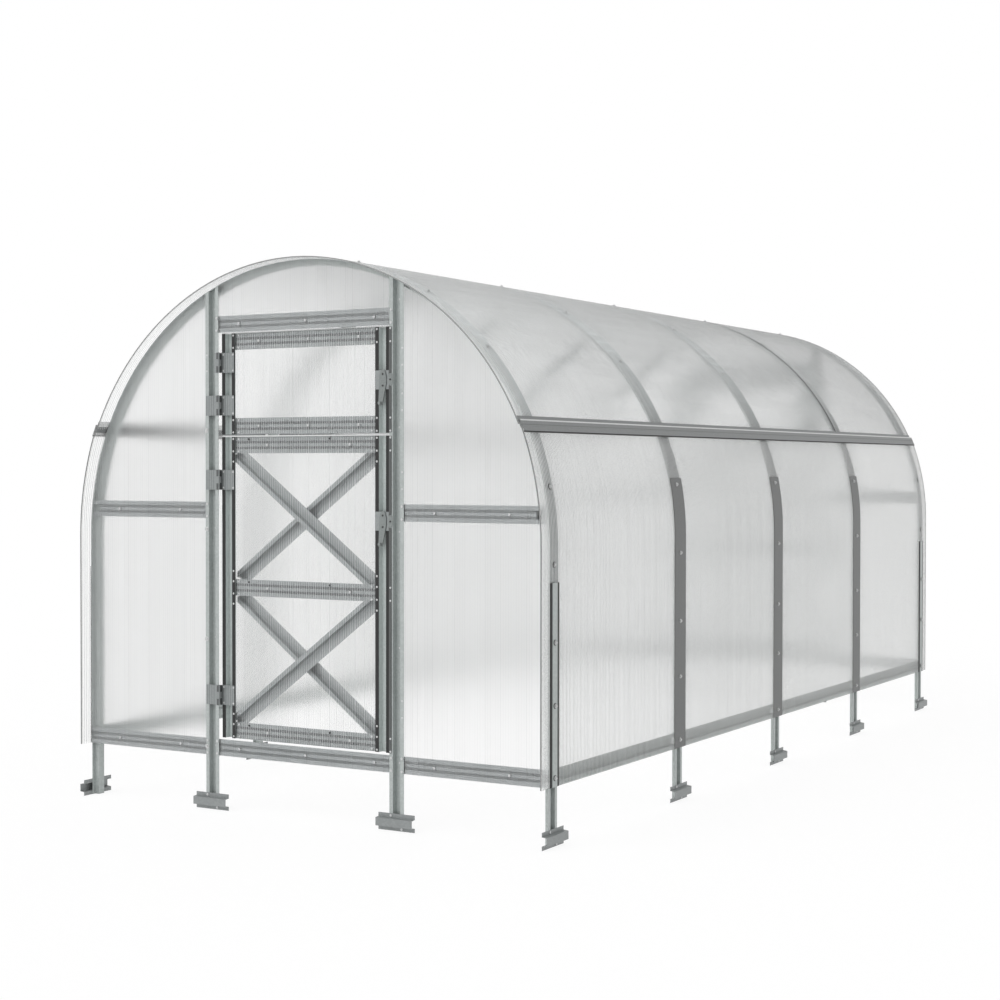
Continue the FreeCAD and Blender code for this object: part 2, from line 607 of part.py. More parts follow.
def build_leaf(name, node, bottom, top, rail_lows):
    """Makes one door leaf's stiles, rails, sheet and flange seals."""
    tall = f"{top} - {bottom}"
    stiles = []
    seals = []
    for side, sign in (("Left", "-"), ("Right", "")):
        x = f"{sign}Places.stile_x"
        stiles.append(bar(f"{name}Stile{side}", tall, x, front("Places.leaf_mouth"), bottom, STRAIGHT))
        for edge, shift in (("Outer", "-"), ("Inner", "+")):
            middle = f"{x} {shift} (Places.half_profile - Sizes.flange_width / 2)"
            seals.append(box(
                f"{name}Seal{side}{edge}", f"{middle} - Sizes.seal_width / 2", front("Places.leaf_front"),
                bottom, "Sizes.seal_width", "Sizes.seal_thick", tall))
    keep(group(f"{name}Stiles", stiles), f"{node}_stiles")
    keep(group(f"{name}Seals", seals), f"{node}_seals")
    rails = []
    for index, low in enumerate(rail_lows, start=1):
        rails.append(bar(
            f"{name}Rail{index}", "2 * Places.leaf_rail_half", "-Places.leaf_rail_half",
            front("Places.leaf_rail_mouth"), f"{low} + Places.half_profile", ALONG_X))
    keep(group(f"{name}Rails", rails), f"{node}_rails")
    sheet = box(
        f"{name}Sheet", "-Places.leaf_rail_half", front("Places.leaf_sheet_front"),
        f"{bottom} + Sizes.leaf_sheet_edge", "2 * Places.leaf_rail_half",
        "Sizes.sheet_thick", f"{tall} - 2 * Sizes.leaf_sheet_edge")
    keep(sheet, f"{node}_sheet")


def build_braces():
    """Crosses each bay of the lower leaf with one brace against the sheet and one behind that."""
    shallow = outline("BraceSection", omega_corners("Places.brace_depth"))
    half = "Places.leaf_rail_half"
    bays = (
        ("Low", "Places.bay_low_z", "Places.bay_low_tall", 1),
        ("High", "Places.bay_high_z", "Places.bay_high_tall", -1),
    )
    braces = []
    for name, low, tall, rise in bays:
        lean = f"atan(({tall}) / (2 * {half}))"
        span = f"sqrt((2 * {half})^2 + ({tall})^2) + 2 * Sizes.profile_width"
        layers = (
            ("Front", shallow, "(Places.leaf_rail_mouth - Sizes.gauge)", "Places.brace_depth", rise),
            ("Rear", omega, "Places.leaf_rail_back", "Sizes.profile_depth", -rise),
        )
        for layer, section, mouth, depth, way in layers:
            turn = f"90 deg - ({lean})" if way > 0 else f"90 deg + ({lean})"
            along_x = f"(({span}) / 2) * sin({turn})"
            along_z = f"(({span}) / 2) * cos({turn})"
            blank = bar(
                f"Brace{name}{layer}Blank", span, f"-{along_x}", front(mouth),
                f"{low} + ({tall}) / 2 - {along_z}", ALONG_X, section)
            blank.setExpression("Placement.Rotation.Angle", turn)
            bay = box(
                f"Brace{name}{layer}Bay", f"-{half}", front(mouth), low, f"2 * {half}", depth, tall)
            braces.append(common(f"Brace{name}{layer}", blank, bay))
    keep(group("FrontLowerBraces", braces), "front_lower_braces")


def build_hinges():
    """Makes the butt hinges: a plate on the post, a stepped plate on the leaf and a headed pin."""
    x = "-Places.axis_x"
    y = front("Places.axis_out")
    barrel = "Sizes.barrel_diameter / 2"
    thick = "Sizes.plate_thick"
    bore = "Sizes.pin_diameter / 2 + Sizes.turning_gap"
    low_ends = ("0", "Sizes.hinge_tall - Places.knuckle")
    middle_low = "Places.knuckle + Sizes.knuckle_gap"
    edge = f"({barrel} + Sizes.turning_gap * 10)"
    kinds = []
    for kind, wide in (("Top", "Sizes.top_plate_wide"), ("Wide", "Sizes.hinge_wide")):
        fixed = [box(
            f"Hinge{kind}Flat", f"{x} - {edge} - {wide}", f"{y} + {barrel} - {thick}", "0",
            wide, thick, "Sizes.hinge_tall")]
        for index, low in enumerate(low_ends):
            fixed.append(box(
                f"Hinge{kind}Tab{index}", f"{x} - {edge}", f"{y} + {barrel} - {thick}", low, edge, thick,
                "Places.knuckle"))
            fixed.append(cylinder(f"Hinge{kind}Barrel{index}", barrel, "Places.knuckle", x, y, low))
        fixed_bore = cylinder(f"Hinge{kind}Bore", bore, "Sizes.hinge_tall", x, y, "0")
        kinds.append(cut(f"Hinge{kind}Plate", fuse(f"Hinge{kind}Blank", fixed), fixed_bore))
    top_plate, wide_plate = kinds
    leaf_y = front("Places.leaf_front + " + thick)
    web_x = f"{x} + Sizes.leaf_side_gap / 2"
    moving = [
        box("HingeLeafFlat", web_x, leaf_y, "0", "Sizes.hinge_wide", thick, "Sizes.hinge_tall"),
        box(
            "HingeLeafWeb", web_x, y, middle_low, thick, "Places.axis_out - Places.leaf_front",
            "Places.knuckle"),
        cylinder("HingeLeafBarrel", barrel, "Places.knuckle", x, y, middle_low),
    ]
    moving_bore = cylinder("HingeLeafBore", bore, "Sizes.hinge_tall", x, y, "0")
    leaf_plate = cut("HingeLeafPlate", fuse("HingeLeafBlank", moving), moving_bore)
    pin = fuse("HingePin", [
        cylinder("HingePinShaft", "Sizes.pin_diameter / 2", "Sizes.hinge_tall", x, y, "0"),
        cylinder(
            "HingePinHead", "Sizes.pin_head_diameter / 2", "Sizes.pin_head_tall", x, y, "Sizes.hinge_tall"),
    ])
    middles = (
        "Places.upper_top - Places.upper_hinge_inset",
        "Places.upper_bottom + Places.upper_hinge_inset",
        "Places.lower_top - Places.lower_hinge_inset",
        "Places.lower_bottom + Places.lower_hinge_inset",
    )
    post_plates = []
    leaf_plates = []
    pins = []
    for index, middle in enumerate(middles, start=1):
        low = f"{middle} - Sizes.hinge_tall / 2"
        post_plate = top_plate if index == 1 else wide_plate
        post_plates.append(copy_of(f"HingePostPlate{index}", post_plate, z=low))
        leaf_plates.append(copy_of(f"HingeLeafPlate{index}", leaf_plate, z=low))
        pins.append(copy_of(f"HingePin{index}", pin, z=low))
    keep(group("FrontHingePlates", post_plates), "front_hinge_plates")
    keep(group("FrontHingePins", pins), "front_hinge_pins")
    return leaf_plates


def build_latch():
    """Makes the turn latch: a plate on the stile, a handle with a tongue, and a keeper on the post."""
    x = "Places.latch_x"
    spindle = "Sizes.latch_spindle / 2"
    plate_blank = box(
        "LatchPlateBlank", f"{x} - Sizes.latch_plate_wide / 2",
        front("Places.leaf_front + Sizes.plate_thick"), "-Sizes.latch_plate_tall / 2",
        "Sizes.latch_plate_wide", "Sizes.plate_thick", "Sizes.latch_plate_tall")
    plate_bore = cylinder(
        "LatchPlateBore", f"{spindle} + Sizes.turning_gap", "Sizes.plate_thick", x,
        front("Places.leaf_front"), "0", UPRIGHT_TO_FRONT)
    plate = cut("LatchPlate", plate_blank, plate_bore)
    tip = "Sizes.latch_tongue_wide / 2"
    hub = "Sizes.latch_hub_wide / 2"
    low_left = "-Sizes.latch_handle_lean - Sizes.latch_handle_tip / 2"
    low_right = "Sizes.latch_handle_tip / 2 - Sizes.latch_handle_lean"
    shape = outline("LatchOutline", [
        (f"-{tip}", "Sizes.latch_tongue"),
        (f"-{hub}", hub),
        (low_left, "-Sizes.latch_handle"),
        (low_right, "-Sizes.latch_handle"),
        (hub, f"-{hub}"),
        (hub, hub),
        (tip, "Sizes.latch_tongue"),
    ])
    lever = extrude("LatchLever", shape, "Sizes.latch_thick")
    place(lever, x, front("Places.latch_out"), "0", UPRIGHT_TO_FRONT)
    axle = cylinder(
        "LatchSpindle", spindle, "Sizes.plate_thick + Sizes.latch_lift + Sizes.latch_thick / 2", x,
        front("Places.leaf_front"), "0", UPRIGHT_TO_FRONT)
    grip = cylinder(
        "LatchGrip", "Sizes.grip_diameter / 2", "Sizes.grip_tall + Sizes.latch_thick / 2",
        f"{x} - Sizes.latch_handle_lean", front("Places.latch_out + Sizes.latch_thick / 2"),
        "Sizes.latch_handle_tip / 2 - Sizes.latch_handle", UPRIGHT_TO_FRONT)
    latch = fuse("Latch", [lever, axle, grip])
    edge = "(Places.post_x - Places.half_profile)"
    lip_back = "(Places.latch_out + Sizes.latch_thick + Sizes.keeper_play)"
    keeper = fuse("Keeper", [
        box("KeeperPlate", f"{edge} - Sizes.keeper_gap", front("Places.post_front + Sizes.plate_thick"),
            "-Sizes.keeper_tall / 2", "Sizes.keeper_reach + Sizes.keeper_gap", "Sizes.plate_thick",
            "Sizes.keeper_tall"),
        box("KeeperLip", f"{edge} - Sizes.keeper_gap", front("Places.post_front + Sizes.plate_thick"),
            "-Sizes.keeper_tall / 2", "Sizes.plate_thick",
            f"Places.post_front + Sizes.plate_thick - {lip_back}", "Sizes.keeper_tall"),
    ])
    heights = {
        "upper": "(Places.upper_bottom + Places.upper_top) / 2",
        "lower": "Places.lower_top - Sizes.lower_latch_drop",
    }
    keepers = []
    plates = {}
    for leaf, z in heights.items():
        keep(copy_of(f"Latch{leaf.capitalize()}", latch, z=z), f"front_{leaf}_latch")
        plates[leaf] = copy_of(f"LatchPlate{leaf.capitalize()}", plate, z=z)
        keepers.append(copy_of(f"Keeper{leaf.capitalize()}", keeper, z=z))
    keep(group("FrontKeepers", keepers), "front_keepers")
    return plates


def build_doors():
    """Makes both leaves of the front door with their hinges and latches."""
    build_leaf("LowerLeaf", "front_lower", "Places.lower_bottom", "Places.lower_top", (
        "Places.lower_bottom", "Places.lower_mid", "Places.lower_top - Sizes.profile_width"))
    build_leaf("UpperLeaf", "front_upper", "Places.upper_bottom", "Places.upper_top", (
        "Places.upper_bottom", "Places.upper_top - Sizes.profile_width"))
    build_braces()
    hinges = build_hinges()
    plates = build_latch()
    keep(group("FrontUpperFittings", hinges[:2] + [plates["upper"]]), "front_upper_fittings")
    keep(group("FrontLowerFittings", hinges[2:] + [plates["lower"]]), "front_lower_fittings")


def build_rear_gable():
    """Repeats the whole front gable at the rear, half a turn about the middle of the house."""
    for node in [name for name in nodes if name.startswith("front_")]:
        rear = node.replace("front_", "rear_", 1)
        name = "".join(word.capitalize() for word in rear.split("_"))
        keep(copy_of(name, nodes[node], rotation=HALF_TURN), rear)


def revolved_screw(head, head_tall, washer, washer_tall, shank, long):
    """Makes one screw standing on z = 0 with its shank below."""
    body = Part.makeCylinder(shank / 2, long + washer_tall, FreeCAD.Vector(0, 0, -long))
    cap = Part.makeCylinder(head / 2, head_tall, FreeCAD.Vector(0, 0, washer_tall))
    if washer_tall > 0:
        cap = cap.fuse(Part.makeCylinder(washer / 2, washer_tall))
    return body.fuse(cap).removeSplitter()


def screw_spots():
    """Lists where the roofing screws of the right half sit: a point on the surface and its outward normal."""
    spots = []
    face = spot("wall_face")
    bend = spot("wall_bend") + size("sheet_thick")
    strip = size("sheet_gap") + size("strip_thick")
    corner = size("sheet_gap") + size("corner_seal_thick") + size("gauge")
    rises = [size("row_foot"), size("row_next")]
    rises += [size("row_third") + size("row_pitch") * step for step in range(3)]
    for station in range(BAYS + 1):
        y = -spot("half_length") + size("arch_pitch") * station
        at_gable = station in (0, BAYS)
        for rise in rises:
            if at_gable:
                lift = corner if rise < size("corner_rise") else 0
            else:
                lift = strip if rise < size("strip_rise") else 0
            over = rise - size("straight_height")
            if over <= 0:
                normal = FreeCAD.Vector(1, 0, 0)
                point = FreeCAD.Vector(face + lift, y, spot("base_z") + rise)
            else:
                angle = math.asin(over / (bend + lift))
                normal = FreeCAD.Vector(math.cos(angle), 0, math.sin(angle))
                point = FreeCAD.Vector(spot("wall_centre"), y, spot("spring_z")) + normal * (bend + lift)
            spots.append((point, normal))
        for step in range(ROOF_SCREWS):
            angle = math.radians(90 - size("roof_screw_angle") - size("roof_screw_angle_step") * step)
            normal = FreeCAD.Vector(math.cos(angle), 0, math.sin(angle))
            spots.append((FreeCAD.Vector(0, y, spot("spring_z")) + normal * face, normal))
    return spots


def frame_screw_spots():
    """Lists where the small screws of the front gable and of the right half's anchors sit."""
    spots = []
    front_y = -spot("half_length") - spot("post_front")
    to_front = FreeCAD.Vector(0, -1, 0)
    reach = spot("half_profile") - size("flange_width") / 2
    outer_rails = (spot("base_z"), spot("base_z") + size("mid_rail_height"))
    inner_rails = (spot("base_z"), spot("lintel_z"))
    for side in (-1, 1):
        for lows, shift in ((outer_rails, 1), (inner_rails, -1)):
            for low in lows:
                for up in (-reach, reach):
                    x = side * (spot("post_x") + shift * reach)
                    spots.append((FreeCAD.Vector(x, front_y, low + spot("half_profile") + up), to_front))
        for along, up in ((-1, 1), (1, -1)):
            x = side * spot("post_x") + along * reach
            point = FreeCAD.Vector(x, front_y - size("gauge"), spot("half_profile") + up * reach)
            spots.append((point, to_front))
    for station in range(BAYS + 1):
        y = -spot("half_length") + size("arch_pitch") * station
        for along, up in ((-1, 1), (1, -1)):
            point = FreeCAD.Vector(
                size("half_width") + size("gauge"), y + along * reach, spot("half_profile") + up * reach)
            spots.append((point, FreeCAD.Vector(1, 0, 0)))
    return spots


def build_screws():
    """Sets the roofing screws and the small frame screws, all as separate solids of one sub-part."""
    roofing = revolved_screw(
        size("screw_head"), size("screw_head_tall"), size("screw_washer"), size("screw_washer_tall"),
        size("screw_shank"), size("screw_long"))
    small = revolved_screw(size("tek_head"), size("tek_head_tall"), 0, 0, size("tek_shank"), size("tek_long"))
    copies = []
    for screw, spots in ((roofing, screw_spots()), (small, frame_screw_spots())):
        for point, normal in spots:
            turn = FreeCAD.Rotation(FreeCAD.Vector(0, 0, 1), normal)
            for half in (STRAIGHT, HALF_TURN):
                copy = screw.copy()
                copy.Placement = FreeCAD.Placement(half.multVec(point), half * turn)
                copies.append(copy)
    screws = doc.addObject("Part::Feature", "Screws")
    screws.Shape = Part.makeCompound(copies)
    keep(screws, "screws")


def write_parts():
    """Checks every object and every sub-part, then writes one file for each sub-part."""
    doc.recompute()
    failed = [item.Name for item in doc.Objects if "Invalid" in item.State or "Error" in item.State]
    if failed:
        raise RuntimeError("objects failed: " + ", ".join(failed))
    os.makedirs("parts", exist_ok=True)
    for node, piece in nodes.items():
        shape = Part.getShape(piece)
        if shape.isNull() or not shape.isValid() or not shape.Solids:
            raise RuntimeError("bad shape: " + node)
        shape.exportStep(os.path.join("parts", node + ".step"))
        print(node, len(shape.Solids), "solids", round(shape.Volume / 1000.0, 1), "cm3")
    print(len(nodes), "sub-parts")


build_arches()
build_base_rails()
build_sheets()
build_strips()
build_joint_rails()
build_anchors()
build_gable_frame()
build_gable_sheets()
build_doors()
build_rear_gable()
build_screws()
write_parts()
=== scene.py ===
"""Dresses the arched greenhouse: galvanised frame, twin-wall sheets, split doors and a white studio."""

import logging
import math
from dataclasses import dataclass
from enum import Enum

import bmesh
import bpy
from mathutils import Matrix, Vector


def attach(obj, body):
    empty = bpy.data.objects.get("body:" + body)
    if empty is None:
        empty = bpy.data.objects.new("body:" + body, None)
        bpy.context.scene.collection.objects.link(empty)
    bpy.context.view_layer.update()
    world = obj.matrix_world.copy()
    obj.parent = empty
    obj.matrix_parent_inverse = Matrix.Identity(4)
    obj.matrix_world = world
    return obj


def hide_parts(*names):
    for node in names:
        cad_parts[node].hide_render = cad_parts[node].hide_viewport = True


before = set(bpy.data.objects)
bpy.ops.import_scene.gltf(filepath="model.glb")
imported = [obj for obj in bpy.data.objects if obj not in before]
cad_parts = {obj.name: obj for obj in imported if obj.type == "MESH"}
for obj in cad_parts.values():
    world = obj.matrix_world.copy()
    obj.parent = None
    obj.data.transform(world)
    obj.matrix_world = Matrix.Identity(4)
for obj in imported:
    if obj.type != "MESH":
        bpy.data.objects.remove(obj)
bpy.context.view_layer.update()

Point = tuple[float, float, float]
Span = tuple[float, float]
Seat = tuple[Point, Point]
Box = tuple[Point, Point]
Colour = tuple[float, float, float, float]
RIB_PITCH = 0.010
GRAIN_DEPTH = 0.0004
log = logging.getLogger("greenhouse")


def grey(value: float, green: float = 1.0, blue: float = 1.0) -> Colour:
    """A grey with a slight tint."""
    return (value, value * green, value * blue, 1.0)


class Slot(Enum):
    """The material slots of the finishes."""

    GALVANISED = "galvanised"
    STRIP = "strip_steel"
    ZINC = "zinc"
    RUBBER = "seal_rubber"
    SHEET = "twin_wall"


class Across(Enum):
    """A coordinate that runs across a sheet's ribs, or that a shade drifts along."""

    X = "X"
    Y = "Y"
    Z = "Z"


class Gable(Enum):
    """The two gables: the rear one repeats the front one after half a turn about the house's middle."""

    FRONT = 1
    REAR = -1

    @property
    def prefix(self) -> str:
        """The first word of this gable's node and body names."""
        return self.name.lower()

    def turn(self, point: Point) -> Point:
        """Takes a point or a direction of the front gable to this gable."""
        return (self.value * point[0], self.value * point[1], point[2])

    def box(self, x: Span, out: Span, z: Span) -> Box:
        """Two opposite corners of a box on this gable, from spans across, outward and up."""
        return self.turn((x[0], -out[0], z[0])), self.turn((x[1], -out[1], z[1]))


class Graph:
    """Adds nodes to one tree and joins them."""

    def __init__(self, tree: bpy.types.NodeTree) -> None:
        """Keeps the tree to fill."""
        self.tree = tree
        self.count = 0

    def add(self, kind: str, settings: dict | None = None, **sockets: object) -> bpy.types.Node:
        """Adds a node, sets its properties and feeds its inputs.

        Args:
            kind: Blender's name of the node type.
            settings: Properties of the node by name.
            sockets: Inputs by name, with underscores for spaces.

        Returns:
            The new node.
        """
        node = self.tree.nodes.new(kind)
        node.location = (self.count * 170, 0)
        self.count += 1
        for name, value in (settings or {}).items():
            setattr(node, name, value)
        for name, value in sockets.items():
            self.feed(node.inputs[name.replace("_", " ")], value)
        return node

    def feed(self, socket: bpy.types.NodeSocket, value: object) -> None:
        """Links the socket to another socket, or sets it to a plain value."""
        if isinstance(value, bpy.types.NodeSocket):
            self.tree.links.new(value, socket)
        else:
            socket.default_value = value

    def math(self, operation: str, *values: object) -> bpy.types.NodeSocket:
        """Adds a Math node on the given values and returns its result."""
        node = self.add("ShaderNodeMath", {"operation": operation})
        for socket, value in zip(node.inputs, values):
            self.feed(socket, value)
        return node.outputs[0]

    def mix(self, share: object, first: object, second: object, way: str = "MIX") -> bpy.types.NodeSocket:
        """Mixes two colours by a share, in one of Blender's ways, and returns the colour."""
        node = self.add("ShaderNodeMix", {"data_type": "RGBA", "blend_type": way})
        for index, value in ((0, share), (6, first), (7, second)):
            self.feed(node.inputs[index], value)
        return node.outputs[2]

    def ranged(self, value: object, given: Span, wanted: Span, way: str = "LINEAR") -> bpy.types.NodeSocket:
        """Takes a value from one span to another, held at the ends, and returns the result."""
        node = self.add(
            "ShaderNodeMapRange", {"interpolation_type": way}, Value=value, From_Min=given[0],
            From_Max=given[1], To_Min=wanted[0], To_Max=wanted[1])
        return node.outputs[0]

    def blend(self, first: object, second: object, share: float) -> bpy.types.NodeSocket:
        """Adds a share of the first value to the rest of the second and returns the sum."""
        return self.math("MULTIPLY_ADD", first, share, self.math("MULTIPLY", second, 1.0 - share))

    def noise(self, coordinates: object, scale: object, detail: float = 2.0) -> bpy.types.NodeSocket:
        """Adds a noise texture and returns its value."""
        node = self.add("ShaderNodeTexNoise", Vector=coordinates, Scale=scale, Detail=detail)
        return node.outputs[0]

    def effect(self, group: bpy.types.NodeTree, **sockets: object) -> bpy.types.Node:
        """Adds a shared effect and feeds its inputs."""
        return self.add("ShaderNodeGroup", {"node_tree": group}, **sockets)


class Effects:
    """The shader node groups that several finishes share."""

    FLAKE_SHARE = 0.45
    FLAKE_CLOUDS = 7.0
    FLAKE_GRAIN = 900.0
    FLAKE_RELIEF = 0.5
    MOTTLE_SHARE = 0.6
    MOTTLE_CLOUDS = 11.0
    SHEET_CLOUDS = 2.5
    CLOUD_DETAIL = 3.0
    LINE_NOISE = 70.0
    LINE_SPAN: Span = (0.36, 0.5)
    NOISE_SPAN: Span = (0.42, 0.68)
    LINE_STRENGTH: Span = (0.10, 1.0)

    def __init__(self) -> None:
        """Builds every group once."""
        self.spangle = self.build_spangle()
        self.mottle = self.build_mottle()
        self.rib_lines = self.build_rib_lines()

    @staticmethod
    def start(name: str, inputs: dict[str, str], outputs: dict[str, str]) -> tuple[Graph, dict, dict]:
        """Makes an empty group with its sockets.

        Args:
            name: The group's name.
            inputs: Socket types by input name.
            outputs: Socket types by output name.

        Returns:
            The graph to fill, the group's inputs by name, and its outputs by name.
        """
        tree = bpy.data.node_groups.new(name, "ShaderNodeTree")
        for label, kind in inputs.items():
            tree.interface.new_socket(label, in_out="INPUT", socket_type=kind)
        for label, kind in outputs.items():
            tree.interface.new_socket(label, in_out="OUTPUT", socket_type=kind)
        graph = Graph(tree)
        given = graph.add("NodeGroupInput").outputs
        wanted = graph.add("NodeGroupOutput").inputs
        return graph, {k: given[k] for k in inputs}, {k: wanted[k] for k in outputs}

    def build_spangle(self) -> bpy.types.NodeTree:
        """Zinc flakes: one grey per crystal, soft clouds over them and a fine grain."""
        graph, given, wanted = self.start(
            "zinc spangle",
            {"Coordinates": "NodeSocketVector", "Flakes per metre": "NodeSocketFloat"},
            {"Shade": "NodeSocketFloat", "Height": "NodeSocketFloat"})
        cells = graph.add(
            "ShaderNodeTexVoronoi", Vector=given["Coordinates"], Scale=given["Flakes per metre"])
        flake = graph.add("ShaderNodeSeparateColor", Color=cells.outputs["Color"]).outputs[0]
        cloud = graph.noise(given["Coordinates"], self.FLAKE_CLOUDS, self.CLOUD_DETAIL)
        grain = graph.noise(given["Coordinates"], self.FLAKE_GRAIN)
        graph.feed(wanted["Shade"], graph.blend(flake, cloud, self.FLAKE_SHARE))
        graph.feed(wanted["Height"], graph.blend(grain, flake, self.FLAKE_RELIEF))
        return graph.tree

    def build_mottle(self) -> bpy.types.NodeTree:
        """Soft clouds and a fine grain for rubber, tapes and the webs of the sheets."""
        graph, given, wanted = self.start(
            "soft mottle",
            {"Coordinates": "NodeSocketVector", "Grain per metre": "NodeSocketFloat"},
            {"Shade": "NodeSocketFloat", "Height": "NodeSocketFloat"})
        cloud = graph.noise(given["Coordinates"], self.MOTTLE_CLOUDS, self.CLOUD_DETAIL)
        grain = graph.noise(given["Coordinates"], given["Grain per metre"])
        graph.feed(wanted["Shade"], graph.blend(cloud, grain, self.MOTTLE_SHARE))
        graph.feed(wanted["Height"], grain)
        return graph.tree

    def build_rib_lines(self) -> bpy.types.NodeTree:
        """Narrow lines over a sheet's webs, some stronger than others, a faint cloud and fine ripples."""
        graph, given, wanted = self.start(
            "twin-wall ribs",
            {"Coordinates": "NodeSocketVector", "Across": "NodeSocketFloat", "Pitch": "NodeSocketFloat",
             "Ripple": "NodeSocketFloat"},
            {"Line": "NodeSocketFloat", "Cloud": "NodeSocketFloat", "Height": "NodeSocketFloat"})
        turns = graph.math("DIVIDE", given["Across"], given["Pitch"])
        wave = graph.math("ABSOLUTE", graph.math("SUBTRACT", graph.math("FRACT", turns), 0.5))
        line = graph.ranged(wave, self.LINE_SPAN, (0.0, 1.0), "SMOOTHSTEP")
        uneven = graph.add(
            "ShaderNodeTexNoise", {"noise_dimensions": "1D"}, W=given["Across"], Scale=self.LINE_NOISE,
            Detail=self.CLOUD_DETAIL)
        strength = graph.ranged(uneven.outputs[0], self.NOISE_SPAN, self.LINE_STRENGTH)
        graph.feed(wanted["Line"], graph.math("MULTIPLY", line, strength))
        graph.feed(wanted["Cloud"], graph.noise(given["Coordinates"], self.SHEET_CLOUDS))
        ripples = graph.math("MULTIPLY", graph.math("DIVIDE", given["Across"], given["Ripple"]), math.tau)
        graph.feed(wanted["Height"], graph.math("MULTIPLY_ADD", graph.math("SINE", ripples), 0.5, 0.5))
        return graph.tree


def new_material(name: str) -> tuple[bpy.types.Material, Graph, bpy.types.Node, bpy.types.NodeSocket]:
    """Starts a material.

    Args:
        name: The material's name.

    Returns:
        The material, its graph, its Principled shader and its Object coordinates.
    """
    material = bpy.data.materials.new(name)
    material.use_nodes = True
    graph = Graph(material.node_tree)
    shader = material.node_tree.nodes["Principled BSDF"]
    return material, graph, shader, graph.add("ShaderNodeTexCoord").outputs["Object"]


@dataclass(frozen=True)
class SteelFinish:
    """Zinc-coated sheet steel with a faint spangle."""

    name: str
    dark: Colour
    light: Colour
    metallic: float
    smooth: float
    rough: float
    flakes: float = 140.0
    relief: float = 0.12

    def material(self, effects: Effects) -> bpy.types.Material:
        """Builds the finish from the shared spangle."""
        material, graph, shader, coordinates = new_material(self.name)
        spangle = graph.effect(effects.spangle, Coordinates=coordinates, Flakes_per_metre=self.flakes)
        shade = spangle.outputs["Shade"]
        graph.feed(shader.inputs["Base Color"], graph.mix(shade, self.dark, self.light))
        shader.inputs["Metallic"].default_value = self.metallic
        span = self.rough - self.smooth
        graph.feed(shader.inputs["Roughness"], graph.math("MULTIPLY_ADD", shade, span, self.smooth))
        bump = graph.add(
            "ShaderNodeBump", Strength=self.relief, Distance=GRAIN_DEPTH, Height=spangle.outputs["Height"])
        graph.feed(shader.inputs["Normal"], bump.outputs["Normal"])
        return material


@dataclass(frozen=True)
class Drift:
    """Painted light and shade: a colour that grows or falls along one axis, between two places, to a share of
    what it was.
    """

    along: Across
    start: float
    end: float
    share: float


@dataclass(frozen=True)
class MattFinish:
    """Matt surface whose colour may drift along the house or with height; the drifts are painted light and
    shade.
    """

    name: str
    dark: Colour
    light: Colour
    rough: float = 0.45
    drifts: tuple[Drift, ...] = ()
    grain: float = 300.0

    def material(self, effects: Effects) -> bpy.types.Material:
        """Builds the finish from the shared mottle."""
        material, graph, shader, coordinates = new_material(self.name)
        mottle = graph.effect(effects.mottle, Coordinates=coordinates, Grain_per_metre=self.grain)
        colour = graph.mix(mottle.outputs["Shade"], self.dark, self.light)
        # Each drift multiplies the colour along one axis: painted light and shade.
        for painted_drift in self.drifts:
            apart = graph.add("ShaderNodeSeparateXYZ", Vector=coordinates)
            place = apart.outputs[painted_drift.along.value]
            share = graph.ranged(place, (painted_drift.start, painted_drift.end), (1.0, painted_drift.share))
            colour = graph.mix(1.0, colour, share, "MULTIPLY")
        graph.feed(shader.inputs["Base Color"], colour)
        shader.inputs["Roughness"].default_value = self.rough
        return material


@dataclass(frozen=True)
class RubberFinish:
    """Black rubber of the seal bands."""

    name: str
    dark: Colour
    light: Colour
    smooth: float
    rough: float
    grain: float = 700.0
    relief: float = 0.25

    def material(self, effects: Effects) -> bpy.types.Material:
        """Builds the finish from the shared mottle."""
        material, graph, shader, coordinates = new_material(self.name)
        mottle = graph.effect(effects.mottle, Coordinates=coordinates, Grain_per_metre=self.grain)
        shade = mottle.outputs["Shade"]
        graph.feed(shader.inputs["Base Color"], graph.mix(shade, self.dark, self.light))
        span = self.rough - self.smooth
        graph.feed(shader.inputs["Roughness"], graph.math("MULTIPLY_ADD", shade, span, self.smooth))
        bump = graph.add(
            "ShaderNodeBump", Strength=self.relief, Distance=GRAIN_DEPTH, Height=mottle.outputs["Height"])
        graph.feed(shader.inputs["Normal"], bump.outputs["Normal"])
        return material


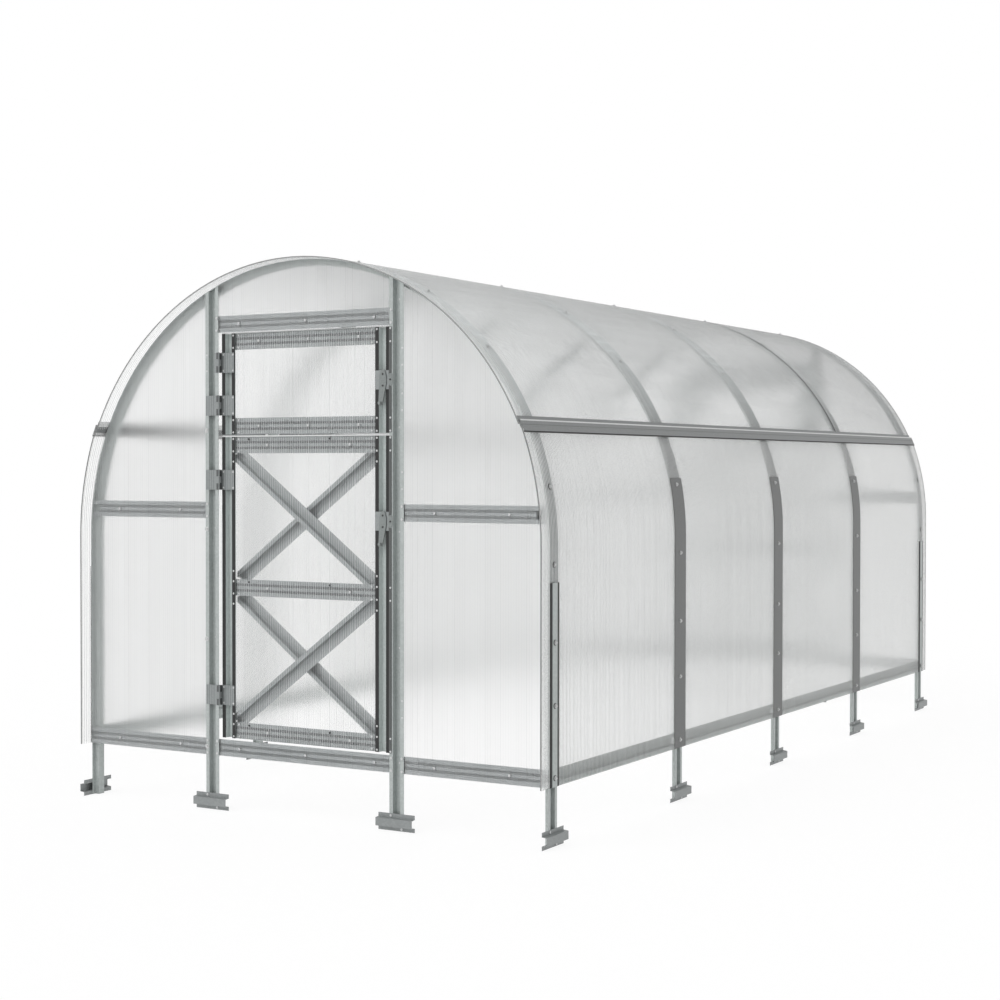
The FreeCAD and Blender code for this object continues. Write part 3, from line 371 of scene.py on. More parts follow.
@dataclass(frozen=True)
class SheetFinish:
    """Clear twin-wall sheet that blurs what stands far behind it and lets lamps through."""

    name: str
    across: Across
    clear: Colour
    line: Colour
    blur: float
    index: float
    ripple_depth: float = 0.00007
    ripple: float = 0.0011
    line_blur: float = 0.05
    cloud_blur: float = 0.06
    lamp_tint: Colour = grey(0.98)

    def material(self, effects: Effects) -> bpy.types.Material:
        """Builds the finish from the shared rib lines."""
        material, graph, shader, coordinates = new_material(self.name)
        apart = graph.add("ShaderNodeSeparateXYZ", Vector=coordinates)
        ribs = graph.effect(
            effects.rib_lines, Coordinates=coordinates, Across=apart.outputs[self.across.value],
            Pitch=RIB_PITCH, Ripple=self.ripple)
        graph.feed(shader.inputs["Base Color"], graph.mix(ribs.outputs["Line"], self.clear, self.line))
        bump = graph.add(
            "ShaderNodeBump", Strength=1.0, Distance=self.ripple_depth, Height=ribs.outputs["Height"])
        graph.feed(shader.inputs["Normal"], bump.outputs["Normal"])
        lowest = self.blur - self.cloud_blur / 2
        cloudy = graph.math("MULTIPLY_ADD", ribs.outputs["Cloud"], self.cloud_blur, lowest)
        graph.feed(
            shader.inputs["Roughness"],
            graph.math("MULTIPLY_ADD", ribs.outputs["Line"], self.line_blur, cloudy))
        shader.inputs["IOR"].default_value = self.index
        shader.inputs["Transmission Weight"].default_value = 1.0
        open_to_lamps = graph.add("ShaderNodeBsdfTransparent", Color=self.lamp_tint)
        path = graph.add("ShaderNodeLightPath")
        both = graph.add("ShaderNodeMixShader", Fac=path.outputs["Is Shadow Ray"])
        graph.feed(both.inputs[1], shader.outputs["BSDF"])
        graph.feed(both.inputs[2], open_to_lamps.outputs["BSDF"])
        graph.feed(material.node_tree.nodes["Material Output"].inputs["Surface"], both.outputs["Shader"])
        return material


Finish = SteelFinish | MattFinish | RubberFinish | SheetFinish
GALVANISED = SteelFinish(
    "galvanised steel", grey(0.38, 1.08, 1.06), grey(0.52, 1.07, 1.05),
    metallic=0.35, smooth=0.38, rough=0.52)
STRIP_STEEL = SteelFinish(
    "dark strip steel", grey(0.135, 1.03, 1.02), grey(0.180, 1.02, 1.01),
    metallic=0.35, smooth=0.38, rough=0.50)
ZINC = SteelFinish(
    "bright zinc", grey(0.56, 1.01, 1.01), grey(0.70, 1.01, 1.01),
    metallic=0.60, smooth=0.26, rough=0.40, flakes=400.0, relief=0.08)
FITTING_STEEL = SteelFinish(
    "fitting steel", grey(0.21, 1.09, 1.07), grey(0.29, 1.08, 1.06),
    metallic=0.40, smooth=0.34, rough=0.46, flakes=220.0)
HINGE_STEEL = SteelFinish(
    "hinge plate steel", grey(0.27, 1.07, 1.07), grey(0.35, 1.06, 1.06),
    metallic=0.40, smooth=0.36, rough=0.48, flakes=220.0)
# Painted shade: dark bars for the shaded sides of the pressed flutes in the hinge plates.
FLUTE_SHADE_STEEL = SteelFinish(
    "hinge flute steel", grey(0.17, 1.06, 1.06), grey(0.22, 1.06, 1.06),
    metallic=0.35, smooth=0.38, rough=0.50, flakes=220.0)
DARK_BOLT = SteelFinish(
    "blackened bolt", grey(0.07), grey(0.12),
    metallic=0.50, smooth=0.35, rough=0.50, flakes=400.0)
RUBBER = RubberFinish(
    "black seal rubber", grey(0.013), grey(0.026), smooth=0.50, rough=0.66)
LONG_SHEET = SheetFinish(
    "twin-wall sheet round the house", Across.Y, grey(0.985, 1.002, 1.0), grey(0.60, 1.01, 1.01),
    blur=0.20, index=1.16)
ROOF_SHEET = SheetFinish(
    "twin-wall sheet over the roof", Across.Y, grey(0.985, 1.002, 1.0), grey(0.66, 1.01, 1.01),
    blur=0.24, index=1.03)
GABLE_SHEET = SheetFinish(
    "twin-wall sheet on the gables", Across.X, grey(0.999, 1.001, 1.0), grey(0.70, 1.01, 1.01),
    blur=0.36, index=1.16, ripple_depth=0.00010)
LEAF_SHEET = SheetFinish(
    "twin-wall sheet on the door leaves", Across.X, grey(0.999, 1.001, 1.0), grey(0.78, 1.01, 1.01),
    blur=0.24, index=1.16, ripple_depth=0.00010)
WEB = MattFinish("milky sheet web", grey(0.94), grey(0.98))
WALL_WEB = MattFinish("milky wall web", grey(0.87, 1.01, 1.005), grey(0.92, 1.01, 1.005))
# Painted shade: the roof webs darken towards the rear of the house and towards the ridge.
ROOF_WEB = MattFinish(
    "greyer roof web", grey(0.74, 1.015, 1.015), grey(0.82, 1.015, 1.015),
    drifts=(Drift(Across.Y, -2.09, 2.09, share=0.60), Drift(Across.Z, 1.80, 1.93, share=0.78)))
EDGE_TAPE = SteelFinish(
    "grey closing tape", grey(0.22, 1.02, 1.01), grey(0.30, 1.02, 1.01),
    metallic=0.0, smooth=0.45, rough=0.60, flakes=200.0)
# Painted light: a lighter copy of galvanised steel, so that the shaded grooves of the stiles read lighter.
LIGHTENED_STILE_STEEL = SteelFinish(
    "door stile steel", grey(0.52, 1.08, 1.06), grey(0.66, 1.07, 1.05),
    metallic=0.25, smooth=0.40, rough=0.54)
# Painted light: the tape grows lighter towards the top of the arch, where it faces the sky.
ARCH_TAPE = MattFinish(
    "arch sealing tape", grey(0.22, 1.06, 1.06), grey(0.27, 1.06, 1.06), rough=0.50,
    drifts=(Drift(Across.Z, 1.38, 1.72, share=2.75),))
JOINT_STEEL = SteelFinish(
    "joint rail steel", grey(0.205, 1.04, 1.04), grey(0.27, 1.04, 1.04),
    metallic=0.30, smooth=0.36, rough=0.50)
RAIL_STEEL = SteelFinish(
    "cross rail steel", grey(0.30, 1.06, 1.07), grey(0.41, 1.05, 1.06),
    metallic=0.35, smooth=0.38, rough=0.52)
# Painted shade: dark lines for the shaded sides in the grooves of the cross rails.
GROOVE_SHADE_STEEL = SteelFinish(
    "rail fold steel", grey(0.165, 1.05, 1.06), grey(0.215, 1.05, 1.06),
    metallic=0.30, smooth=0.40, rough=0.54)
ANCHOR_STEEL = SteelFinish(
    "anchor steel", grey(0.25, 1.06, 1.06), grey(0.34, 1.05, 1.05),
    metallic=0.40, smooth=0.36, rough=0.50)
# Painted shade: dark boxes for the shade round the hinge barrels.
FOLD_SHADE_STEEL = SteelFinish(
    "shaded fold steel", grey(0.095, 1.04, 1.05), grey(0.135, 1.04, 1.05),
    metallic=0.30, smooth=0.40, rough=0.54)
# Painted light: the end tapes grow lighter towards the top of the arch, where they face the sky.
END_TAPE = MattFinish(
    "end arch sealing tape", grey(0.40, 1.05, 1.05), grey(0.48, 1.05, 1.05), rough=0.50,
    drifts=(Drift(Across.Z, 1.38, 1.72, share=1.60),))
# Painted light: bright strips for the lit ledges of the joint rails and for the light in the gaps above the
# door leaves.
PAINTED_LIGHT_EDGE = SteelFinish(
    "bright rolled edge", grey(0.62, 1.01, 1.01), grey(0.74, 1.01, 1.01),
    metallic=0.20, smooth=0.30, rough=0.42, flakes=220.0)
LIP = RubberFinish(
    "grey seal lip", grey(0.085, 1.06, 1.05), grey(0.125, 1.06, 1.05), smooth=0.48, rough=0.62)


class Palette:
    """Every finish of the house, made once."""

    def __init__(self) -> None:
        """Makes the shared effects and the materials that read them."""
        effects = Effects()
        finishes = (
            GALVANISED, STRIP_STEEL, ZINC, FITTING_STEEL, JOINT_STEEL, PAINTED_LIGHT_EDGE, DARK_BOLT, RUBBER, LIP,
            LONG_SHEET, ROOF_SHEET, GABLE_SHEET, LEAF_SHEET, WEB, WALL_WEB, ROOF_WEB, EDGE_TAPE,
            LIGHTENED_STILE_STEEL, ARCH_TAPE, RAIL_STEEL, FOLD_SHADE_STEEL, END_TAPE, HINGE_STEEL, FLUTE_SHADE_STEEL, GROOVE_SHADE_STEEL,
            ANCHOR_STEEL)
        self.materials = {finish.name: finish.material(effects) for finish in finishes}

    def of(self, finish: Finish) -> bpy.types.Material:
        """The material of a finish."""
        return self.materials[finish.name]

    def dress(self, node: str, finish: Finish) -> None:
        """Gives a CAD node its finish.

        Args:
            node: The node's name.
            finish: One of the finishes above.
        """
        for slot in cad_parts[node].material_slots:
            slot.material = self.of(finish)


class Modeller:
    """Runs geometry trees and keeps their results as plain meshes."""

    WASHER_SIDES = 14
    CROWN_TAPER = 0.62
    SHANK_SHARE = 0.6

    def __init__(self) -> None:
        """Builds each tree once."""
        self.fastener_tree = self.build_fastener_tree()
        self.row_tree = self.build_row_tree()
        self.arch_tree = self.build_arch_tree()

    @staticmethod
    def start(name: str, inputs: dict[str, str]) -> tuple[Graph, dict]:
        """Makes an empty geometry tree with named inputs.

        Args:
            name: The tree's name.
            inputs: Socket types by input name.

        Returns:
            The graph to fill and its inputs by name.
        """
        tree = bpy.data.node_groups.new(name, "GeometryNodeTree")
        tree.interface.new_socket("Geometry", in_out="INPUT", socket_type="NodeSocketGeometry")
        for label, kind in inputs.items():
            tree.interface.new_socket(label, in_out="INPUT", socket_type=kind)
        tree.interface.new_socket("Geometry", in_out="OUTPUT", socket_type="NodeSocketGeometry")
        graph = Graph(tree)
        given = graph.add("NodeGroupInput").outputs
        return graph, {label: given[label] for label in ("Geometry", *inputs)}

    @staticmethod
    def finish(graph: Graph, instances: bpy.types.NodeSocket, finish: bpy.types.NodeSocket) -> None:
        """Ends a tree: the instances become real faces and take their material."""
        real = graph.add("GeometryNodeRealizeInstances", Geometry=instances)
        painted = graph.add("GeometryNodeSetMaterial", Geometry=real.outputs[0], Material=finish)
        out = graph.add("NodeGroupOutput")
        graph.feed(out.inputs["Geometry"], painted.outputs[0])

    def build_fastener_tree(self) -> bpy.types.NodeTree:
        """A headed screw on a washer at every point, standing along the point's facing."""
        graph, given = self.start("fastener rows", {
            "Head Sides": "NodeSocketInt", "Head Radius": "NodeSocketFloat", "Head Height": "NodeSocketFloat",
            "Washer Radius": "NodeSocketFloat", "Washer Height": "NodeSocketFloat",
            "Finish": "NodeSocketMaterial"})
        washer = graph.add(
            "GeometryNodeMeshCylinder", Vertices=self.WASHER_SIDES, Radius=given["Washer Radius"],
            Depth=given["Washer Height"])
        head = graph.add(
            "GeometryNodeMeshCylinder", Vertices=given["Head Sides"], Radius=given["Head Radius"],
            Depth=given["Head Height"])
        crown = graph.add(
            "GeometryNodeMeshCone", Vertices=given["Head Sides"], Radius_Bottom=given["Head Radius"],
            Radius_Top=graph.math("MULTIPLY", given["Head Radius"], self.CROWN_TAPER),
            Depth=graph.math("MULTIPLY", given["Head Height"], 1.0 - self.SHANK_SHARE))
        seat = graph.math("MULTIPLY", given["Washer Height"], 0.5)
        middle = graph.math(
            "MULTIPLY_ADD", given["Head Height"], self.SHANK_SHARE / 2, given["Washer Height"])
        top = graph.math("MULTIPLY_ADD", given["Head Height"], self.SHANK_SHARE, given["Washer Height"])
        pieces = []
        for shape, lift, squash in ((washer, seat, 1.0), (head, middle, self.SHANK_SHARE), (crown, top, 1.0)):
            move = graph.add("ShaderNodeCombineXYZ", Z=lift)
            placed = graph.add(
                "GeometryNodeTransform", Geometry=shape.outputs["Mesh"], Translation=move.outputs[0],
                Scale=(1.0, 1.0, squash))
            pieces.append(placed.outputs[0])
        screw = graph.add("GeometryNodeJoinGeometry")
        for piece in pieces:
            graph.tree.links.new(piece, screw.inputs[0])
        facing = graph.add("GeometryNodeInputNamedAttribute", {"data_type": "FLOAT_VECTOR"}, Name="facing")
        turn = graph.add("FunctionNodeAlignRotationToVector", {"axis": "Z"}, Vector=facing.outputs[0])
        rows = graph.add(
            "GeometryNodeInstanceOnPoints", Points=given["Geometry"], Instance=screw.outputs[0],
            Rotation=turn.outputs[0])
        self.finish(graph, rows.outputs[0], given["Finish"])
        return graph.tree

    def build_row_tree(self) -> bpy.types.NodeTree:
        """The given shape repeated in a straight row."""
        graph, given = self.start("shape rows", {
            "Count": "NodeSocketInt", "Step": "NodeSocketVector", "Finish": "NodeSocketMaterial"})
        line = graph.add(
            "GeometryNodeMeshLine", {"mode": "OFFSET"}, Count=given["Count"], Offset=given["Step"])
        rows = graph.add(
            "GeometryNodeInstanceOnPoints", Points=line.outputs[0], Instance=given["Geometry"])
        self.finish(graph, rows.outputs[0], given["Finish"])
        return graph.tree

    def build_arch_tree(self) -> bpy.types.NodeTree:
        """Upright webs in a row under a round arch: each is as tall as the arch stands over its place."""
        graph, given = self.start("webs under an arch", {
            "Count": "NodeSocketInt", "First": "NodeSocketVector", "Step": "NodeSocketVector",
            "Arch Radius": "NodeSocketFloat", "Arch Height": "NodeSocketFloat", "Foot": "NodeSocketFloat",
            "Thickness": "NodeSocketFloat", "Depth": "NodeSocketFloat", "Finish": "NodeSocketMaterial"})
        line = graph.add(
            "GeometryNodeMeshLine", {"mode": "OFFSET"}, Count=given["Count"], Start_Location=given["First"],
            Offset=given["Step"])
        place = graph.add("GeometryNodeInputPosition")
        along = graph.add("ShaderNodeSeparateXYZ", Vector=place.outputs[0]).outputs["X"]
        squares = graph.math(
            "SUBTRACT", graph.math("MULTIPLY", given["Arch Radius"], given["Arch Radius"]),
            graph.math("MULTIPLY", along, along))
        top = graph.math("ADD", given["Arch Height"], graph.math("SQRT", squares))
        tall = graph.math("SUBTRACT", top, given["Foot"])
        middle = graph.math("MULTIPLY_ADD", tall, 0.5, given["Foot"])
        lift = graph.add("ShaderNodeCombineXYZ", Z=middle)
        raised = graph.add("GeometryNodeSetPosition", Geometry=line.outputs[0], Offset=lift.outputs[0])
        unit = graph.add("GeometryNodeMeshCube", Size=(1.0, 1.0, 1.0))
        size = graph.add("ShaderNodeCombineXYZ", X=given["Thickness"], Y=given["Depth"])
        kept = graph.add(
            "GeometryNodeStoreNamedAttribute", {"data_type": "FLOAT", "domain": "POINT"},
            Geometry=raised.outputs[0], Name="tall")
        graph.feed(kept.inputs["Value"], self.tall_from_middle(graph, given))
        read = graph.add("GeometryNodeInputNamedAttribute", {"data_type": "FLOAT"}, Name="tall")
        graph.feed(size.inputs["Z"], read.outputs[0])
        rows = graph.add(
            "GeometryNodeInstanceOnPoints", Points=kept.outputs[0], Instance=unit.outputs["Mesh"],
            Scale=size.outputs[0])
        self.finish(graph, rows.outputs[0], given["Finish"])
        return graph.tree

    @staticmethod
    def tall_from_middle(graph: Graph, given: dict) -> bpy.types.NodeSocket:
        """A raised point's height over the foot, doubled: the height of its web."""
        place = graph.add("GeometryNodeInputPosition")
        height = graph.add("ShaderNodeSeparateXYZ", Vector=place.outputs[0]).outputs["Z"]
        return graph.math("MULTIPLY", graph.math("SUBTRACT", height, given["Foot"]), 2.0)

    @staticmethod
    def run(obj: bpy.types.Object, tree: bpy.types.NodeTree, values: dict[str, object]) -> None:
        """Runs a tree on an object and keeps the result as its plain mesh.

        Args:
            obj: The object, whose mesh is replaced.
            tree: The geometry tree.
            values: The tree's inputs by name.
        """
        modifier = obj.modifiers.new(tree.name, "NODES")
        modifier.node_group = tree
        for item in tree.interface.items_tree:
            if item.item_type == "SOCKET" and item.in_out == "INPUT" and item.name in values:
                modifier[item.identifier] = values[item.name]
        bpy.context.view_layer.update()
        evaluated = obj.evaluated_get(bpy.context.evaluated_depsgraph_get())
        plain = bpy.data.meshes.new_from_object(evaluated)
        obj.modifiers.remove(modifier)
        rough = obj.data
        obj.data = plain
        plain.name = obj.name
        bpy.data.meshes.remove(rough)


def new_object(name: str, mesh: bpy.types.Mesh) -> bpy.types.Object:
    """Puts a mesh into the scene as an object at the origin."""
    obj = bpy.data.objects.new(name, mesh)
    bpy.context.scene.collection.objects.link(obj)
    return obj


def settle(obj: bpy.types.Object, body: str) -> None:
    """Ties a finished piece to its body and logs it.

    Args:
        obj: The piece.
        body: The CAD body that it moves with.
    """
    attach(obj, body)
    log.info("%s: %d faces on %s", obj.name, len(obj.data.polygons), body)


def points_object(name: str, places: list[Seat]) -> bpy.types.Object:
    """Makes loose points that know which way they face.

    Args:
        name: The object's name.
        places: Pairs of a point and its facing.

    Returns:
        The object, with one vertex per place.
    """
    mesh = bpy.data.meshes.new(name)
    mesh.from_pydata([point for point, _ in places], [], [])
    facing = mesh.attributes.new("facing", "FLOAT_VECTOR", "POINT")
    for index, (_, direction) in enumerate(places):
        facing.data[index].vector = direction
    return new_object(name, mesh)


def swept_box(name: str, path: list[Seat], depth: float, side: Point) -> bpy.types.Object:
    """Makes a closed bar of rectangular section along a path.

    Args:
        name: The object's name.
        path: Pairs of a point on the bar's inner face and the direction of its depth there.
        depth: The bar's size along that direction.
        side: Its width, as a vector across the path.

    Returns:
        The object.
    """
    shape = bmesh.new()
    rings = []
    half = Vector(side) / 2
    for point, direction in path:
        inner = Vector(point)
        outer = inner + Vector(direction) * depth
        corners = (inner - half, inner + half, outer + half, outer - half)
        rings.append([shape.verts.new(corner) for corner in corners])
    for near, far in zip(rings, rings[1:]):
        for index in range(4):
            after = (index + 1) % 4
            shape.faces.new((near[index], near[after], far[after], far[index]))
    shape.faces.new(rings[0])
    shape.faces.new(rings[-1])
    bmesh.ops.recalc_face_normals(shape, faces=shape.faces)
    mesh = bpy.data.meshes.new(name)
    shape.to_mesh(mesh)
    shape.free()
    return new_object(name, mesh)


def add_bar(
        name: str, path: list[Seat], depth: float, side: Point, finish: bpy.types.Material, body: str) -> None:
    """Makes a bar along a path as one piece.

    Args:
        name: The piece's name.
        path: Pairs of a point on the bar's inner face and the direction of its depth there.
        depth: The bar's size along that direction.
        side: Its width, as a vector across the path.
        finish: Its material.
        body: The CAD body that it moves with.
    """
    bar = swept_box(name, path, depth, side)
    bar.data.materials.append(finish)
    settle(bar, body)


def add_boxes(name: str, boxes: list[Box], finish: bpy.types.Material, body: str) -> None:
    """Makes several closed boxes as one piece.

    Args:
        name: The piece's name.
        boxes: Pairs of opposite corners.
        finish: The boxes' material.
        body: The CAD body that they move with.
    """
    shape = bmesh.new()
    for first, second in boxes:
        middle = (Vector(first) + Vector(second)) / 2
        size = [abs(a - b) for a, b in zip(first, second)]
        place = Matrix.Translation(middle) @ Matrix.Diagonal((*size, 1.0))
        bmesh.ops.create_cube(shape, size=1.0, matrix=place)
    mesh = bpy.data.meshes.new(name)
    shape.to_mesh(mesh)
    shape.free()
    mesh.materials.append(finish)
    settle(new_object(name, mesh), body)


def thin_sheet(node: str, body: str, finish: bpy.types.Material, clear: float = 0.0003) -> None:
    """Copies a flat CAD sheet a little thinner, so that light reaches the bars that lie against its back.

    Args:
        node: The CAD sheet that the copy stands for.
        body: The CAD body that it moves with.
        finish: The sheet's material.
        clear: How far its back stands off the bars.
    """
    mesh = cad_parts[node].data.copy()
    outs = [abs(vertex.co.y) for vertex in mesh.vertices]
    middle = (min(outs) + max(outs)) / 2
    for vertex in mesh.vertices:
        if abs(vertex.co.y) < middle:
            vertex.co.y += math.copysign(clear, vertex.co.y)
    mesh.materials.clear()
    mesh.materials.append(finish)
    piece = new_object(f"{node}_pane", mesh)
    settle(piece, body)
    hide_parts(node)


@dataclass(frozen=True)
class ScrewKind:
    """Sizes of one kind of fastener."""

    sides: int
    head_radius: float
    head_height: float
    washer_radius: float
    washer_height: float

    def add(self, name: str, places: list[Seat], maker: Modeller, finish: bpy.types.Material, body: str,
            slot: Slot) -> None:
        """Sets one screw on every place, as one piece.

        Args:
            name: The piece's name.
            places: Pairs of a seat point and its facing.
            maker: The geometry trees.
            finish: The screws' material.
            body: The CAD body that they move with.
            slot: The slot of their finish; not used.
        """
        obj = points_object(name, places)
        maker.run(obj, maker.fastener_tree, {
            "Head Sides": self.sides, "Head Radius": self.head_radius, "Head Height": self.head_height,
            "Washer Radius": self.washer_radius, "Washer Height": self.washer_height, "Finish": finish})
        settle(obj, body)


FLANGE_SCREW = ScrewKind(8, 0.0030, 0.0013, 0.0038, 0.0004)
RAIL_SCREW = ScrewKind(8, 0.0036, 0.0018, 0.0050, 0.0006)
WASHER_SCREW = ScrewKind(6, 0.0050, 0.0042, 0.0085, 0.0016)
DARK_SCREW = ScrewKind(6, 0.0030, 0.0030, 0.0036, 0.0006)
WASHER_DISC = ScrewKind(14, 0.0088, 0.0010, 0.0100, 0.0006)
ROOFING_HEAD = ScrewKind(6, 0.0050, 0.0050, 0.0070, 0.0024)


@dataclass(frozen=True)
class RailInlay:
    """Strips in a cross rail's mouth: a flat floor, and along each of its sides a dark line that is painted
    shade of the groove's sloping sides.
    """

    half_mouth: float = 0.0146
    line_middle: float = 0.0103
    line_half: float = 0.0046
    floor_depth: float = 0.0016
    line_depth: float = 0.0009
    gauge: float = 0.0006

    def build(self, name: str, gable: Gable, rails: list[Point], back: float, body: str,
              palette: Palette) -> None:
        """Lays floors and painted shade lines into the mouths of several rails.

        Args:
            name: The first words of the pieces' names.
            gable: The rails' gable.
            rails: Left end, right end and middle height of every rail.
            back: The face of the rails' flanges, outward from the house's middle.
            body: The CAD body that the rails belong to.
            palette: The finishes.
        """
        floors = []
        lines = []
        for left, right, height in rails:
            floor = back - self.floor_depth
            mouth = (height - self.half_mouth, height + self.half_mouth)
            floors.append(gable.box((left, right), (floor - self.gauge, floor), mouth))
            face = back - self.line_depth
            for side in (-1, 1):
                middle = height + side * self.line_middle
                edges = (middle - self.line_half, middle + self.line_half)
                lines.append(gable.box((left, right), (face - self.gauge, face), edges))
        # The lines are painted shade of the groove's sides.
        for part, boxes, finish in (("floors", floors, RAIL_STEEL), ("lines", lines, GROOVE_SHADE_STEEL)):
            add_boxes(f"{name}_rail_{part}", boxes, palette.of(finish), body)


@dataclass
class SteelFrame:
    """The arches, rails, posts, strips and anchors, with their tapes, folds and extra fasteners."""

    post_middle: float = 0.405
    flange_middle: float = 0.023
    post_face: float = 2.0364
    sheet_face: float = 2.0352
    groove_floor: float = 2.0176
    sill_middle: float = 0.230
    mid_middle: float = 1.102
    lintel_middle: float = 1.782
    short_rail_screws: tuple[float, ...] = (-0.282, 0.015, 0.311)
    long_rail_screws: tuple[float, ...] = (0.558, 0.854)
    groove_screws: tuple[float, ...] = (0.233, 0.633, 1.036, 1.398, 1.840)
    washer_heights: tuple[float, ...] = (0.230, 0.627, 1.032, 1.394)
    hinge_heights: tuple[float, ...] = (1.6414, 1.4851, 1.2132, 0.4228)
    hinge_hole: float = 0.029
    washer_edge: float = 0.002
    arches: int = 5
    arch_radius: float = 1.0
    arch_pitch: float = 1.0
    spring: float = 1.0
    tape_foot: float = 0.262
    tape_wide: float = 0.060
    joint_tape_wide: float = 0.096
    tape_lift: float = 0.00020
    tape_gauge: float = 0.00028
    liner_lift: float = 0.00003
    liner_gauge: float = 0.00012
    between_posts: float = 0.387
    beside_post: float = 0.423
    sill_end: float = 0.990
    mid_end: float = 0.955
    rail_back: float = 2.0312
    corner_face: float = 1.0084
    corner_screws: tuple[float, ...] = (0.230, 0.470, 0.680)
    head_lift: float = 0.0008
    leg_screws: Span = (0.938, 1.196)
    wall_face: float = 1.0046
    bend_face: float = 1.0960
    bend_centre: float = -0.0914

    def dress(self, palette: Palette) -> None:
        """Gives every steel node of the frame its finish."""
        steel = [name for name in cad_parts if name.startswith(("arch_", "base_rails"))]
        for side in ("left", "right"):
            palette.dress(f"joint_rail_{side}", JOINT_STEEL)
        for gable in Gable:
            steel.append(f"{gable.prefix}_posts")
            palette.dress(f"{gable.prefix}_cross_rails", RAIL_STEEL)
            palette.dress(f"{gable.prefix}_lintel", RAIL_STEEL)
            palette.dress(f"{gable.prefix}_hinge_plates", HINGE_STEEL)
            palette.dress(f"{gable.prefix}_hinge_pins", HINGE_STEEL)
            palette.dress(f"{gable.prefix}_keepers", FITTING_STEEL)
        for node in (*steel, "corner_strips"):
            palette.dress(node, GALVANISED)
        palette.dress("ground_anchors", ANCHOR_STEEL)
        palette.dress("cover_strips", STRIP_STEEL)
        palette.dress("corner_seals", RUBBER)
        palette.dress("screws", ZINC)

    def flange_places(self, gable: Gable) -> list[Seat]:
        """Small screws: hinge holes on the post flanges and one per crossing in the post grooves."""
        out = gable.turn((0.0, -1.0, 0.0))
        places = []
        outer = self.post_middle + self.flange_middle
        for height in self.hinge_heights:
            for shift in (-self.hinge_hole, self.hinge_hole):
                places.append((gable.turn((outer, -self.post_face, height + shift)), out))
        for shift in (-self.hinge_hole, self.hinge_hole):
            top = self.hinge_heights[0] + shift
            places.append((gable.turn((-outer, -self.post_face, top)), out))
        for side in (-1, 1):
            for height in self.groove_screws:
                places.append((gable.turn((side * self.post_middle, -self.groove_floor, height)), out))
        return places

    def rail_places(self, gable: Gable) -> list[Seat]:
        """Screws through the gable sheets into the grooves of sill, middle rails and lintel."""
        out = gable.turn((0.0, -1.0, 0.0))
        places = []
        for height in (self.sill_middle, self.lintel_middle):
            for x in self.short_rail_screws:
                places.append((gable.turn((x, -self.sheet_face, height)), out))
        for height in (self.sill_middle, self.mid_middle):
            for x in self.long_rail_screws:
                for side in (-1, 1):
                    places.append((gable.turn((side * x, -self.sheet_face, height)), out))
        return places

    def washer_places(self, gable: Gable) -> list[Seat]:
        """Washered screws at the outer edge of the hinge post."""
        out = gable.turn((0.0, -1.0, 0.0))
        x = -self.post_middle - self.flange_middle - self.washer_edge
        return [(gable.turn((x, -self.post_face, height)), out) for height in self.washer_heights]

    def build_arch_tapes(self, palette: Palette) -> None:
        """Closes the mouth of each arch with a flat tape under the sheets, white on its inner side."""
        radius = self.arch_radius
        self.build_tape_layer("arch_tape", radius + self.tape_lift, self.tape_gauge, None, palette)
        self.build_tape_layer("arch_liner", radius + self.liner_lift, self.liner_gauge, WEB, palette)

    def build_tape_layer(self, stem: str, inner: float, gauge: float, finish: Finish | None,
                         palette: Palette, steps: int = 60) -> None:
        """Lays one strip over every arch, from base rail to base rail.

        Args:
            stem: The first words of the pieces' names.
            inner: The strip's inner radius.
            gauge: Its thickness.
            finish: Its finish, or none for the tapes' own finishes.
            palette: The finishes.
            steps: How many straight lengths follow the arc.
        """
        path = [((-inner, 0.0, self.tape_foot), (-1.0, 0.0, 0.0))]
        for index in range(steps + 1):
            angle = math.pi - math.pi * index / steps
            out = (math.cos(angle), 0.0, math.sin(angle))
            path.append(((inner * out[0], 0.0, self.spring + inner * out[2]), out))
        path.append(((inner, 0.0, self.tape_foot), (1.0, 0.0, 0.0)))
        last = self.arches - 1
        for index in range(self.arches):
            y = (index - last / 2) * self.arch_pitch
            at_end = index in (0, last)
            width = self.tape_wide if at_end else self.joint_tape_wide
            moved = [((x, y, z), out) for (x, _, z), out in path]
            add_bar(
                f"{stem}_{index + 1}", moved, gauge, (0.0, width, 0.0),
                palette.of(finish or (END_TAPE if at_end else ARCH_TAPE)), "frame")

    def leg_places(self) -> list[Seat]:
        """Seats of the washers round the roofing screws on the end legs, above the corner strips."""
        places = []
        for side in (-1, 1):
            for y in (-2 * self.arch_pitch, 2 * self.arch_pitch):
                places.append(((side * self.wall_face, y, self.leg_screws[0]), (side, 0.0, 0.0)))
                tilt = math.asin((self.leg_screws[1] - self.spring) / self.bend_face)
                out = (side * math.cos(tilt), 0.0, math.sin(tilt))
                x = side * self.bend_centre + self.bend_face * out[0]
                places.append(((x, y, self.leg_screws[1]), out))
        return places

    def build_rail_inlays(self, palette: Palette) -> None:
        """Builds the floors and painted shade lines in the mouths of sills, middle rails and lintels."""
        inner = self.between_posts
        outer = self.beside_post
        rails = [(-inner, inner, self.sill_middle), (-inner, inner, self.lintel_middle)]
        for height, end in ((self.sill_middle, self.sill_end), (self.mid_middle, self.mid_end)):
            rails += [(-end, -outer, height), (outer, end, height)]
        for gable in Gable:
            RailInlay().build(gable.prefix, gable, rails, self.rail_back, "frame", palette)

    def corner_places(self, lift: float) -> list[Seat]:
        """Seats of the roofing screws on the four corner strips."""
        places = []
        for side in (-1, 1):
            for y in (-2 * self.arch_pitch, 2 * self.arch_pitch):
                for height in self.corner_screws:
                    places.append(((side * (self.corner_face + lift), y, height), (side, 0.0, 0.0)))
        return places

